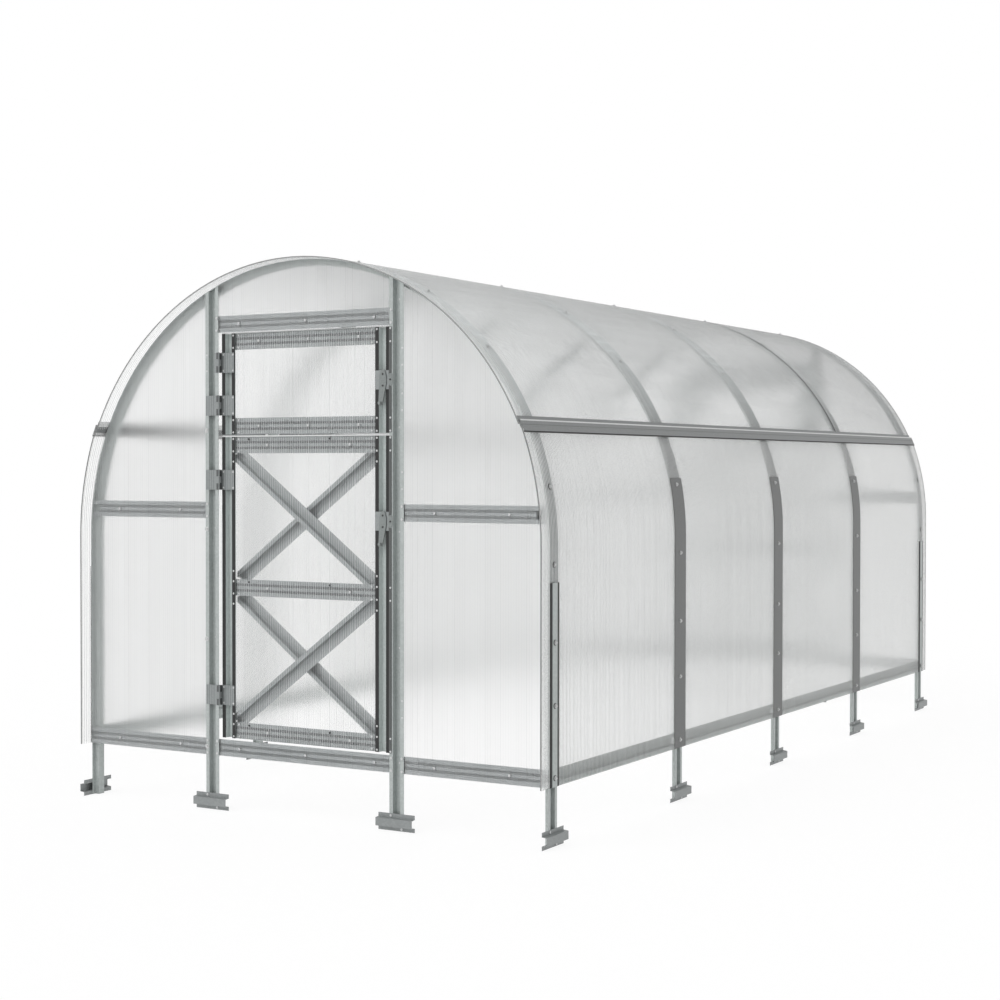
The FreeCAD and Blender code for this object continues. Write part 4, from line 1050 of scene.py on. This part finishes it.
    def build_corner_screws(self, palette: Palette, maker: Modeller) -> None:
        """Builds the black washers and bright heads on the corner strips."""
        places = self.corner_places(0.0) + self.leg_places()
        WASHER_DISC.add("corner_washers", places, maker, palette.of(RUBBER), "frame", Slot.RUBBER)
        places = self.corner_places(self.head_lift)
        ROOFING_HEAD.add("corner_heads", places, maker, palette.of(ZINC), "frame", Slot.ZINC)

    def build(self, palette: Palette, maker: Modeller) -> None:
        """Builds the frame's tapes, folds and extra fasteners."""
        self.build_arch_tapes(palette)
        self.build_rail_inlays(palette)
        self.build_corner_screws(palette, maker)
        kinds = (
            ("frame_flange_screws", FLANGE_SCREW, self.flange_places),
            ("frame_rail_screws", RAIL_SCREW, self.rail_places),
            ("frame_washer_screws", WASHER_SCREW, self.washer_places),
        )
        for name, kind, lister in kinds:
            places = [place for gable in Gable for place in lister(gable)]
            kind.add(name, places, maker, palette.of(ZINC), "frame", Slot.ZINC)


@dataclass(frozen=True)
class JointLine:
    """One strip along a joint rail: its back and its middle from the rail's seat, and its section."""

    kind: str
    out: float
    up: float
    depth: float
    width: float
    finish: Finish
    slot: Slot


@dataclass
class JointTrim:
    """Strips along the two joint rails, all painted light and shade: a bright edge as a painted highlight, a
    groove as painted shade, the seal as a painted shadow, and white linings behind them as painted light.
    """

    angle: float = math.radians(24.2)
    seat: float = 1.0052
    spring: float = 1.0
    step: float = 0.009
    end: float = 2.0875

    def lines(self) -> tuple[JointLine, ...]:
        """The strips of one rail, from its face inwards: painted highlight, shade, shadow and light."""
        return (
            # Painted highlight: a bright strip where the rail's up-facing ledge catches the light.
            JointLine("edge", self.step - 0.0002, up=0.0012, depth=0.0008, width=0.0050,
                      finish=PAINTED_LIGHT_EDGE, slot=Slot.GALVANISED),
            # Painted shade: a dark strip in the groove of the rail's lower face.
            JointLine("groove", self.step - 0.0006, up=-0.0150, depth=0.0008, width=0.0022,
                      finish=STRIP_STEEL, slot=Slot.STRIP),
            # Painted shadow: a black strip along the rail's lower edge, where it stands off the wall sheet.
            JointLine("seal", 0.0055, up=-0.0402, depth=0.0030, width=0.0042,
                      finish=RUBBER, slot=Slot.RUBBER),
            # Painted light: white strips behind the rail, so that its inner side and the shadow strip read lit
            # from inside the house.
            JointLine("seal_lining", 0.0049, up=-0.0402, depth=0.0004, width=0.0046,
                      finish=WEB, slot=Slot.SHEET),
            JointLine("upper_lining", -0.0004, up=0.0095, depth=0.0003, width=0.0190,
                      finish=WEB, slot=Slot.SHEET),
            JointLine("lower_lining", self.step - 0.0016, up=-0.0190, depth=0.0003, width=0.0370,
                      finish=WEB, slot=Slot.SHEET))

    def build(self, palette: Palette) -> None:
        """Builds the strips on both rails, in each rail's turned frame."""
        for label, side in (("left", -1), ("right", 1)):
            outward = Vector((side * math.cos(self.angle), 0.0, math.sin(self.angle)))
            upward = Vector((-side * math.sin(self.angle), 0.0, math.cos(self.angle)))
            for line in self.lines():
                middle = Vector((0.0, 0.0, self.spring)) + outward * (self.seat + line.out) + upward * line.up
                path = [((middle.x, y, middle.z), tuple(outward)) for y in (-self.end, self.end)]
                add_bar(
                    f"joint_{line.kind}_{label}", path, line.depth, tuple(upward * line.width),
                    palette.of(line.finish), "frame")


@dataclass
class Glazing:
    """The twin-wall sheets with the webs between their skins and the tape that closes their ends."""

    skin: float = 0.0005
    thick: float = 0.004
    web: float = 0.0004
    gable_web: float = 0.0011
    thin_web: float = 0.0003
    roof_web: float = 0.0019
    spring: float = 1.0
    inner_radius: float = 1.0006
    roof_start: float = 23.7
    wall_bend: float = 1.092
    wall_centre: float = -0.0914
    wall_foot: float = 0.200
    wall_top: float = 1.4095
    sheet_end: float = 2.088
    seam: float = 0.972
    gable_face: float = 2.0352
    side_from: float = 0.4225
    side_to: float = 0.99
    over_door: Span = (-0.38, 0.385)
    over_door_foot: float = 1.753
    gable_radius: float = 0.9985
    foot_clear: float = 0.001
    seam_clear: float = 0.002
    end_clear: float = 0.003
    seam_lift: float = 0.0029
    seam_gauge: float = 0.0005
    seam_wide: float = 0.0120
    tape: float = 0.0024
    tape_inset: float = 0.0001

    def dress(self, palette: Palette) -> None:
        """Gives every fixed sheet its finish."""
        for node in ("wall_sheets_left", "wall_sheets_right"):
            palette.dress(node, LONG_SHEET)
        for node in ("roof_sheet_front", "roof_sheet_rear"):
            palette.dress(node, ROOF_SHEET)
        for gable in Gable:
            thin_sheet(f"{gable.prefix}_side_sheets", "frame", palette.of(GABLE_SHEET))
            thin_sheet(f"{gable.prefix}_centre_sheets", "frame", palette.of(GABLE_SHEET))

    def roof_path(self, y: float, steps: int = 30) -> list[Seat]:
        """The inner skin over the arc, from the left joint to the right one, with its outward directions."""
        path = []
        radius = self.inner_radius + self.skin
        for index in range(steps + 1):
            angle = math.radians(self.roof_start + (180 - 2 * self.roof_start) * index / steps)
            out = (math.cos(angle), 0.0, math.sin(angle))
            path.append(((radius * out[0], y, self.spring + radius * out[2]), out))
        return path

    def wall_path(self, side: int, y: float, steps: int = 10) -> list[Seat]:
        """The inner skin up a wall and round its bend, with its outward directions."""
        foot = (side * (self.inner_radius + self.skin), y, self.wall_foot + self.foot_clear)
        path = [(foot, (side, 0.0, 0.0))]
        reach = math.asin((self.wall_top - self.spring) / self.wall_bend)
        for index in range(steps + 1):
            angle = reach * index / steps
            out = (side * math.cos(angle), 0.0, math.sin(angle))
            radius = self.wall_bend + self.skin
            x = side * self.wall_centre + radius * out[0]
            path.append(((x, y, self.spring + radius * out[2]), out))
        return path

    def rows(self, name: str, shape: bpy.types.Object, start: float, stop: float, maker: Modeller,
             finish: bpy.types.Material) -> bpy.types.Object:
        """Repeats a web along the house between two places.

        Args:
            name: The piece's name.
            shape: The first web.
            start: The first web's place along the house.
            stop: Where the row ends.
            maker: The geometry trees.
            finish: The webs' material.

        Returns:
            The piece.
        """
        shape.name = name
        count = int((stop - start) / RIB_PITCH) + 1
        maker.run(shape, maker.row_tree, {
            "Count": count, "Step": (0.0, RIB_PITCH, 0.0), "Finish": finish})
        return shape

    def build_long_webs(self, palette: Palette, maker: Modeller) -> None:
        """Builds the webs of the roof and the walls."""
        finish = palette.of(WALL_WEB)
        depth = self.thick - 2 * self.skin
        side = (0.0, self.web, 0.0)
        first = -math.floor(self.sheet_end / RIB_PITCH) * RIB_PITCH
        behind = math.ceil((self.seam + self.seam_clear) / RIB_PITCH) * RIB_PITCH
        for part, start, stop in (
                ("front", first, self.seam - self.seam_clear),
                ("rear", behind, self.sheet_end - self.end_clear)):
            shape = swept_box("web", self.roof_path(start), self.roof_web, side)
            piece = self.rows(f"roof_webs_{part}", shape, start, stop, maker, palette.of(ROOF_WEB))
            settle(piece, "frame")
            for label, way in (("left", -1), ("right", 1)):
                shape = swept_box("web", self.wall_path(way, start), depth, side)
                piece = self.rows(f"wall_webs_{label}_{part}", shape, start, stop, maker, finish)
                settle(piece, "frame")

    def build_gable_webs(self, palette: Palette, maker: Modeller) -> None:
        """Builds the webs of the gable sheets beside and above the door."""
        fields = (
            ("left", -self.side_to, -self.side_from, self.wall_foot),
            ("right", math.ceil(self.side_from / RIB_PITCH) * RIB_PITCH, self.side_to, self.wall_foot),
            ("over_door", *self.over_door, self.over_door_foot),
        )
        for gable in Gable:
            for label, start, stop, foot in fields:
                obj = points_object(f"{gable.prefix}_webs_{label}", [])
                y = -gable.value * (self.gable_face - self.thick / 2)
                maker.run(obj, maker.arch_tree, {
                    "Count": int((stop - start) / RIB_PITCH) + 1,
                    "First": (gable.value * start, y, 0.0),
                    "Step": (gable.value * RIB_PITCH, 0.0, 0.0),
                    "Arch Radius": self.gable_radius, "Arch Height": self.spring,
                    "Foot": foot + self.foot_clear, "Thickness": self.thin_web, "Depth": self.gable_web,
                    "Finish": palette.of(WEB)})
                settle(obj, "frame")

    def build_tape(self, palette: Palette) -> None:
        """Builds the thin closing tape at the open ends of roof and walls."""
        depth = self.thick - 2 * self.tape_inset
        side = (0.0, self.tape, 0.0)
        for gable in Gable:
            y = -gable.value * (self.sheet_end - self.tape / 2 - self.tape_inset)
            paths = {
                "roof": self.roof_path(y, 60), "wall_left": self.wall_path(-1, y, 20),
                "wall_right": self.wall_path(1, y, 20)}
            for label, path in paths.items():
                inset = [
                    (tuple(Vector(point) - Vector(out) * (self.skin - self.tape_inset)), out)
                    for point, out in path]
                name = f"{gable.prefix}_tape_{label}"
                add_bar(name, inset, depth, side, palette.of(EDGE_TAPE), "frame")

    def build_seam(self, palette: Palette) -> None:
        """Builds the dark tape in the roof's joint between its two sheets."""
        path = [
            (tuple(Vector(point) + Vector(out) * self.seam_lift), out)
            for point, out in self.roof_path(self.seam, 60)]
        side = (0.0, self.seam_wide, 0.0)
        add_bar("roof_seam", path, self.seam_gauge, side, palette.of(DARK_BOLT), "frame")

    def build(self, palette: Palette, maker: Modeller) -> None:
        """Builds all webs and tapes of the fixed sheets."""
        self.build_seam(palette)
        self.build_long_webs(palette, maker)
        self.build_gable_webs(palette, maker)
        self.build_tape(palette)


@dataclass
class DoorLeaf:
    """One leaf of a split door: bars, seals, sheet, fittings, latch and their screws."""

    gable: Gable
    level: str
    bottom: float
    top: float
    rail_middles: tuple[float, ...]
    rail_screws: tuple[float, ...]
    hinge_heights: tuple[float, ...]
    latch_height: float
    drip: float
    bolts: tuple[float, ...] = ()
    half: float = 0.368
    sheet_half: float = 0.321
    sheet_face: float = 2.0218
    sheet_thick: float = 0.004
    seal_face: float = 2.025
    plate_face: float = 2.0265
    post_plate_face: float = 2.0379
    barrel_face: float = 2.0466
    knuckle_half: float = 0.0128
    step_face: float = 2.0312
    groove_floor: float = 2.0042
    stile_middle: float = 0.338
    flange_middle: float = 0.0225
    rail_end_screw: float = 0.2925
    extra_seal_screw: float = 0.060
    bolt_rise: float = 0.021
    web_skin: float = 0.0006
    web_depth: float = 0.0011
    web_thick: float = 0.0003
    web_clear: float = 0.003
    hinge_hole: float = 0.029
    hinge_half: float = 0.0365
    fold: Span = (-0.3762, -0.3683)
    fold_gauge: float = 0.0006
    step: Span = (-0.3745, -0.3645)
    step_gauge: float = 0.0012
    flute: float = 0.0018
    flute_step: float = 0.0105
    flute_depth: float = 0.0005
    flute_sink: float = 0.0002
    flute_clear: float = 0.0005
    leaf_flutes: tuple[float, int] = (-0.361, 5)
    post_flutes: tuple[float, int] = (-0.428, 4)
    lip_gap: float = 0.0215
    lip_gauge: float = 0.0008
    lip_clear: float = 0.002
    lip_face: float = 2.0392
    lip_from: float = 0.3755
    lip_to: float = 0.3845
    neck_from: float = 0.3668
    lip_screw: float = 0.3812
    strip_deep: float = 0.0030
    inlay_clear: float = 0.001
    latch_face: float = 2.0300
    latch_edge: Span = (0.3105, 0.3201)
    latch_half: float = 0.033
    latch_cover: Span = (-0.10, 0.04)
    latch_cover_half: float = 0.03
    rivet_x: float = 0.343
    rivet_rise: float = 0.020
    keeper_face: float = 2.0379
    keeper_x: float = 0.3795
    stile_dots: tuple[tuple[float, float], ...] = ()

    @property
    def body(self) -> str:
        """The CAD body that this leaf is."""
        return f"{self.gable.prefix}_{self.level}_leaf"

    @property
    def stem(self) -> str:
        """The first words of this leaf's node names."""
        return f"{self.gable.prefix}_{self.level}"

    def place(self, x: float, out: float, z: float) -> Seat:
        """A seat on the leaf's front, with its facing."""
        return self.gable.turn((x, -out, z)), self.gable.turn((0.0, -1.0, 0.0))

    def dress(self, palette: Palette) -> None:
        """Gives the leaf's nodes their finishes."""
        for part, finish in (
                ("stiles", LIGHTENED_STILE_STEEL), ("rails", RAIL_STEEL), ("seals", RUBBER), ("fittings", HINGE_STEEL),
                ("latch", FITTING_STEEL)):
            palette.dress(f"{self.stem}_{part}", finish)
        thin_sheet(f"{self.stem}_sheet", self.body, palette.of(LEAF_SHEET))
        if f"{self.stem}_braces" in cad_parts:
            palette.dress(f"{self.stem}_braces", RAIL_STEEL)

    def flange_places(self) -> list[Seat]:
        """Screws through the seals at every rail, in the stile grooves and at the hinge plates' corners."""
        places = []
        inner = self.stile_middle - self.flange_middle
        outer = self.stile_middle + self.flange_middle
        for height in self.rail_middles:
            for shift in (-self.flange_middle, self.flange_middle):
                places.append(self.place(self.lip_screw, self.lip_face, height + shift))
                for x in (-inner, inner):
                    places.append(self.place(x, self.seal_face, height + shift))
                for x in (-self.rail_end_screw, self.rail_end_screw):
                    places.append(self.place(x, self.sheet_face, height + shift))
            for side in (-1, 1):
                places.append(self.place(side * self.stile_middle, self.groove_floor, height))
        for height in self.hinge_heights:
            for shift in (-self.hinge_hole, self.hinge_hole):
                for x in (-inner, -outer):
                    places.append(self.place(x, self.plate_face, height + shift))
        places += [self.place(x, self.groove_floor, height) for x, height in self.stile_dots]
        return [place for place in places if not self.under_latch(place[0])]

    def extra_places(self) -> list[Seat]:
        """Screws of the braces through the inner seals, above and below the rails."""
        places = []
        inner = self.stile_middle - self.flange_middle
        for height in self.rail_middles:
            for shift in (-self.extra_seal_screw, self.extra_seal_screw):
                if self.bottom < height + shift < self.top:
                    for x in (-inner, inner):
                        places.append(self.place(x, self.seal_face, height + shift))
        return [place for place in places if not self.under_latch(place[0])]

    def under_latch(self, point: Point) -> bool:
        """True for a seat that the latch plate or its handle covers."""
        beside = abs(abs(point[0]) - self.stile_middle) < self.latch_cover_half
        low, high = self.latch_cover
        return beside and self.gable.value * point[0] > 0 and low < point[2] - self.latch_height < high

    def rail_places(self) -> list[Seat]:
        """Screws through the sheet into the leaf's rails."""
        return [
            self.place(x, self.sheet_face, height) for height in self.rail_middles for x in self.rail_screws]

    def build_screws(self, palette: Palette, maker: Modeller) -> None:
        """Builds the leaf's screws."""
        small = self.flange_places()
        if self.bolts:
            small += self.extra_places()
        kinds = [
            ("flange_screws", FLANGE_SCREW, small, ZINC, Slot.ZINC),
            ("rail_screws", RAIL_SCREW, self.rail_places(), ZINC, Slot.ZINC),
        ]
        if self.bolts:
            dark = [
                self.place(x, self.sheet_face, height + self.bolt_rise)
                for height in self.rail_middles for x in self.bolts]
            kinds.append(("brace_bolts", DARK_SCREW, dark, DARK_BOLT, Slot.ZINC))
        for name, kind, places, finish, slot in kinds:
            kind.add(f"{self.stem}_{name}", places, maker, palette.of(finish), self.body, slot)

    def build_webs(self, palette: Palette, maker: Modeller) -> None:
        """Builds the webs of the leaf's sheet."""
        y = -self.gable.value * (self.sheet_face - self.web_skin)
        inward = self.gable.turn((0.0, 1.0, 0.0))
        start = -math.floor(self.sheet_half / RIB_PITCH) * RIB_PITCH
        ends = (self.bottom + self.web_clear, self.top - self.web_clear)
        path = [((start, y, z), inward) for z in ends]
        shape = swept_box(f"{self.stem}_webs", path, self.web_depth, (self.web_thick, 0.0, 0.0))
        maker.run(shape, maker.row_tree, {
            "Count": int(-2 * start / RIB_PITCH + 0.5) + 1, "Step": (RIB_PITCH, 0.0, 0.0),
            "Finish": palette.of(WEB)})
        settle(shape, self.body)

    def build_hinge_trim(self, palette: Palette, maker: Modeller) -> None:
        """Dresses the hinges with painted shade: dark flutes in the plates, a dark fold before the barrel and
        a dark step behind it.
        """
        fold_shades = []
        steps = []
        for index, height in enumerate(self.hinge_heights):
            span = (height - self.hinge_half, height + self.hinge_half)
            before = (self.barrel_face, self.barrel_face + self.fold_gauge)
            for ends in ((span[0], height - self.knuckle_half), (height + self.knuckle_half, span[1])):
                fold_shades.append(self.gable.box(self.fold, before, ends))
            steps.append(self.gable.box(self.step, (self.step_face - self.step_gauge, self.step_face), span))
            fields = [("leaf", self.leaf_flutes, self.plate_face, self.body)]
            if self.level == "lower" or index == 1:
                fields.append(("post", self.post_flutes, self.post_plate_face, "frame"))
            for label, (first, count), face, body in fields:
                name = f"{self.stem}_{label}_plate_flutes_{index + 1}"
                bar = self.flute_bar(name, first, face, span)
                maker.run(bar, maker.row_tree, {
                    "Count": count, "Step": (self.gable.value * self.flute_step, 0.0, 0.0),
                    "Finish": palette.of(FLUTE_SHADE_STEEL)})
                settle(bar, body)
        # The folds and steps are dark boxes: painted shade round the hinge barrel.
        dark = palette.of(FOLD_SHADE_STEEL)
        add_boxes(f"{self.stem}_hinge_folds", fold_shades, dark, "frame")
        add_boxes(f"{self.stem}_hinge_steps", steps, dark, self.body)

    def flute_bar(self, name: str, x: float, face: float, span: Span) -> bpy.types.Object:
        """Makes the first flute of a hinge plate: a low ridge whose dark finish is painted shade.

        Args:
            name: The piece's name.
            x: The flute's middle.
            face: The plate's face, outward from the house's middle.
            span: The plate's lower and upper edge.

        Returns:
            The flute.
        """
        out = self.gable.turn((0.0, -1.0, 0.0))
        ends = (span[0] + self.flute_clear, span[1] - self.flute_clear)
        path = [(self.gable.turn((x, -face + self.flute_sink, z)), out) for z in ends]
        return swept_box(name, path, self.flute_depth, (self.flute, 0.0, 0.0))

    def build_lip(self, palette: Palette) -> None:
        """Builds the seal lip that laps over the lock post, open where the latch works."""
        reach = Vector((self.lip_from - self.neck_from, self.seal_face - self.lip_face, 0.0))
        lean = self.gable.turn(tuple(reach.normalized()))
        across = reach.cross(Vector((0.0, 0.0, 1.0))).normalized()
        gauge = self.gable.turn(tuple(across * self.lip_gauge))
        finish = palette.of(LIP)
        for label, foot, head in (
                ("low", self.bottom + self.lip_clear, self.latch_height - self.lip_gap),
                ("high", self.latch_height + self.lip_gap, self.top - self.lip_clear)):
            path = [(self.gable.turn((self.neck_from, -self.seal_face, z)), lean) for z in (foot, head)]
            name = f"{self.stem}_seal_neck_{label}"
            add_bar(name, path, reach.length, gauge, finish, self.body)
            lap = self.gable.box(
                (self.lip_from, self.lip_to), (self.lip_face - self.lip_gauge, self.lip_face), (foot, head))
            add_boxes(f"{self.stem}_seal_lip_{label}", [lap], finish, self.body)

    def build_top_strip(self, palette: Palette) -> None:
        """Builds the bright drip strip on the leaf's top edge, in the gap above it: painted light that fills
        the gap.
        """
        strip = self.gable.box(
            (-self.half, self.half), (self.seal_face - self.strip_deep, self.seal_face),
            (self.top, self.top + self.drip))
        add_boxes(f"{self.stem}_drip_strip", [strip], palette.of(PAINTED_LIGHT_EDGE), self.body)

    def build_inlays(self, palette: Palette) -> None:
        """Builds the floors and painted shade lines in the mouths of the leaf's rails."""
        end = self.sheet_half - self.inlay_clear
        rails = [(-end, end, height) for height in self.rail_middles]
        back = self.sheet_face - self.sheet_thick
        RailInlay().build(self.stem, self.gable, rails, back, self.body, palette)

    def build_latch_marks(self, palette: Palette, maker: Modeller) -> None:
        """Sets the plate's folded edge, the rivets of the latch handle and the bolt of its keeper."""
        edge = self.gable.box(
            self.latch_edge, (self.seal_face, self.plate_face),
            (self.latch_height - self.latch_half, self.latch_height + self.latch_half))
        add_boxes(f"{self.stem}_latch_plate_edge", [edge], palette.of(HINGE_STEEL), self.body)
        rivets = [
            self.place(self.rivet_x, self.latch_face, self.latch_height + shift)
            for shift in (self.rivet_rise, -self.rivet_rise)]
        bolt = [self.place(self.keeper_x, self.keeper_face, self.latch_height)]
        dark = palette.of(DARK_BOLT)
        latch = f"{self.stem}_latch"
        DARK_SCREW.add(f"{self.stem}_latch_rivets", rivets, maker, dark, latch, Slot.ZINC)
        DARK_SCREW.add(f"{self.stem}_keeper_bolt", bolt, maker, dark, "frame", Slot.ZINC)

    def build(self, palette: Palette, maker: Modeller) -> None:
        """Builds everything that this leaf carries beyond its bars."""
        self.build_screws(palette, maker)
        self.build_webs(palette, maker)
        self.build_hinge_trim(palette, maker)
        self.build_lip(palette)
        self.build_top_strip(palette)
        self.build_inlays(palette)
        self.build_latch_marks(palette, maker)


def door_leaves() -> list[DoorLeaf]:
    """The four leaves of the house, with their sizes in metres."""
    leaves = []
    for gable in Gable:
        leaves.append(DoorLeaf(
            gable, "upper", bottom=1.379, top=1.7475, rail_middles=(1.409, 1.7175),
            rail_screws=(-0.202, 0.018, 0.236), hinge_heights=(1.6414, 1.4851), latch_height=1.56325,
            drip=0.0030, stile_dots=((-0.352, 1.562), (-0.338, 1.562))))
        leaves.append(DoorLeaf(
            gable, "lower", bottom=0.266, top=1.370, rail_middles=(0.296, 0.820, 1.340),
            rail_screws=(-0.164, 0.199), hinge_heights=(1.2132, 0.4228), latch_height=1.072,
            drip=0.0050, bolts=(-0.247, 0.112)))
    return leaves


@dataclass
class Studio:
    """The white floor, the plain soft light and the camera at the photograph's place."""

    floor_half: float = 60.0
    floor_drop: float = 0.001
    floor_grey: float = 0.86
    floor_rough: float = 0.9
    floor_glow: float = 1.045
    glow_share: float = 0.86
    camera_place: Point = (3.8853, -7.3210, 1.2595)
    yaw: float = 0.5259
    pitch: float = 0.0178
    roll: float = 0.0009
    lens: float = 65.875
    sensor: float = 36.0
    farthest: float = 300.0
    fill: float = 0.98
    horizon: float = 0.15
    zenith: float = 0.42
    key: float = 0.95
    key_angle: float = 50.0
    key_from: Point = (-0.35, -0.75, 0.80)

    @staticmethod
    def seen_directly(graph: Graph) -> bpy.types.NodeSocket:
        """One for rays that show the background itself: from the camera, off metal and through glass."""
        path = graph.add("ShaderNodeLightPath")
        shown = graph.math("MAXIMUM", path.outputs["Is Camera Ray"], path.outputs["Is Glossy Ray"])
        return graph.math("MAXIMUM", shown, path.outputs["Is Transmission Ray"])

    def build_world(self) -> None:
        """Makes a white surround that lights the house with a plain fill."""
        world = bpy.data.worlds.new("white surround")
        world.use_nodes = True
        graph = Graph(world.node_tree)
        height = graph.add(
            "ShaderNodeSeparateXYZ", Vector=graph.add("ShaderNodeTexCoord").outputs["Generated"]).outputs["Z"]
        sky = graph.ranged(height, (self.horizon, 1.0), (1.0, self.zenith))
        fill = world.node_tree.nodes["Background"]
        fill.inputs["Color"].default_value = grey(1.0)
        graph.feed(fill.inputs["Strength"], graph.math("MULTIPLY", sky, self.fill))
        path = graph.add("ShaderNodeLightPath")
        level = graph.math("MAXIMUM", sky, path.outputs["Is Camera Ray"])
        white = graph.add("ShaderNodeBackground", Color=grey(1.0), Strength=level)
        both = graph.add("ShaderNodeMixShader", Fac=self.seen_directly(graph))
        graph.feed(both.inputs[1], fill.outputs[0])
        graph.feed(both.inputs[2], white.outputs[0])
        graph.feed(world.node_tree.nodes["World Output"].inputs["Surface"], both.outputs[0])
        bpy.context.scene.world = world

    def build_floor(self) -> None:
        """Makes the white floor, which keeps a soft shadow."""
        half = self.floor_half
        mesh = bpy.data.meshes.new("studio_floor")
        corners = ((-half, -half), (half, -half), (half, half), (-half, half))
        mesh.from_pydata([(*corner, -self.floor_drop) for corner in corners], [], [(0, 1, 2, 3)])
        floor = new_object("studio_floor", mesh)
        material, graph, shader, _ = new_material("white floor")
        shader.inputs["Base Color"].default_value = grey(self.floor_grey)
        shader.inputs["Roughness"].default_value = self.floor_rough
        shader.inputs["Specular IOR Level"].default_value = 0.0
        glow = graph.add("ShaderNodeEmission", Color=grey(1.0), Strength=self.floor_glow)
        share = graph.math("MULTIPLY", self.seen_directly(graph), self.glow_share)
        both = graph.add("ShaderNodeMixShader", Fac=share)
        graph.feed(both.inputs[1], shader.outputs[0])
        graph.feed(both.inputs[2], glow.outputs[0])
        graph.feed(material.node_tree.nodes["Material Output"].inputs["Surface"], both.outputs[0])
        mesh.materials.append(material)

    def build_lamp(self) -> None:
        """Makes one broad soft key light from the front left."""
        lamp = bpy.data.lights.new("soft key", "SUN")
        lamp.energy = self.key
        lamp.angle = math.radians(self.key_angle)
        obj = bpy.data.objects.new("soft key", lamp)
        obj.rotation_euler = Vector(self.key_from).to_track_quat("Z", "Y").to_euler()
        bpy.context.scene.collection.objects.link(obj)

    def build_camera(self) -> None:
        """Makes the camera at the photograph's place and turn."""
        camera = bpy.data.cameras.new("photo camera")
        camera.lens = self.lens
        camera.sensor_width = self.sensor
        camera.clip_end = self.farthest
        obj = bpy.data.objects.new("photo camera", camera)
        ahead = Vector((
            -math.sin(self.yaw) * math.cos(self.pitch), math.cos(self.yaw) * math.cos(self.pitch),
            -math.sin(self.pitch)))
        right = Vector((math.cos(self.yaw), math.sin(self.yaw), 0.0))
        up = right.cross(ahead)
        tilted_right = right * math.cos(self.roll) + up * math.sin(self.roll)
        tilted_up = tilted_right.cross(ahead)
        turn = Matrix((tilted_right, tilted_up, -ahead)).transposed()
        obj.matrix_world = Matrix.Translation(self.camera_place) @ turn.to_4x4()
        bpy.context.scene.collection.objects.link(obj)
        bpy.context.scene.camera = obj

    def build(self) -> None:
        """Builds the whole studio."""
        bpy.context.scene.view_settings.view_transform = "Standard"
        self.build_world()
        self.build_floor()
        self.build_lamp()
        self.build_camera()


def main() -> None:
    """Builds the studio and every sub-assembly in order."""
    logging.basicConfig(level=logging.INFO, format="%(name)s %(message)s")
    Studio().build()
    palette = Palette()
    maker = Modeller()
    house = SteelFrame()
    house.dress(palette)
    house.build(palette, maker)
    JointTrim().build(palette)
    glazing = Glazing()
    glazing.dress(palette)
    glazing.build(palette, maker)
    for leaf in door_leaves():
        leaf.dress(palette)
        leaf.build(palette, maker)


if __name__ == "__main__":
    main()
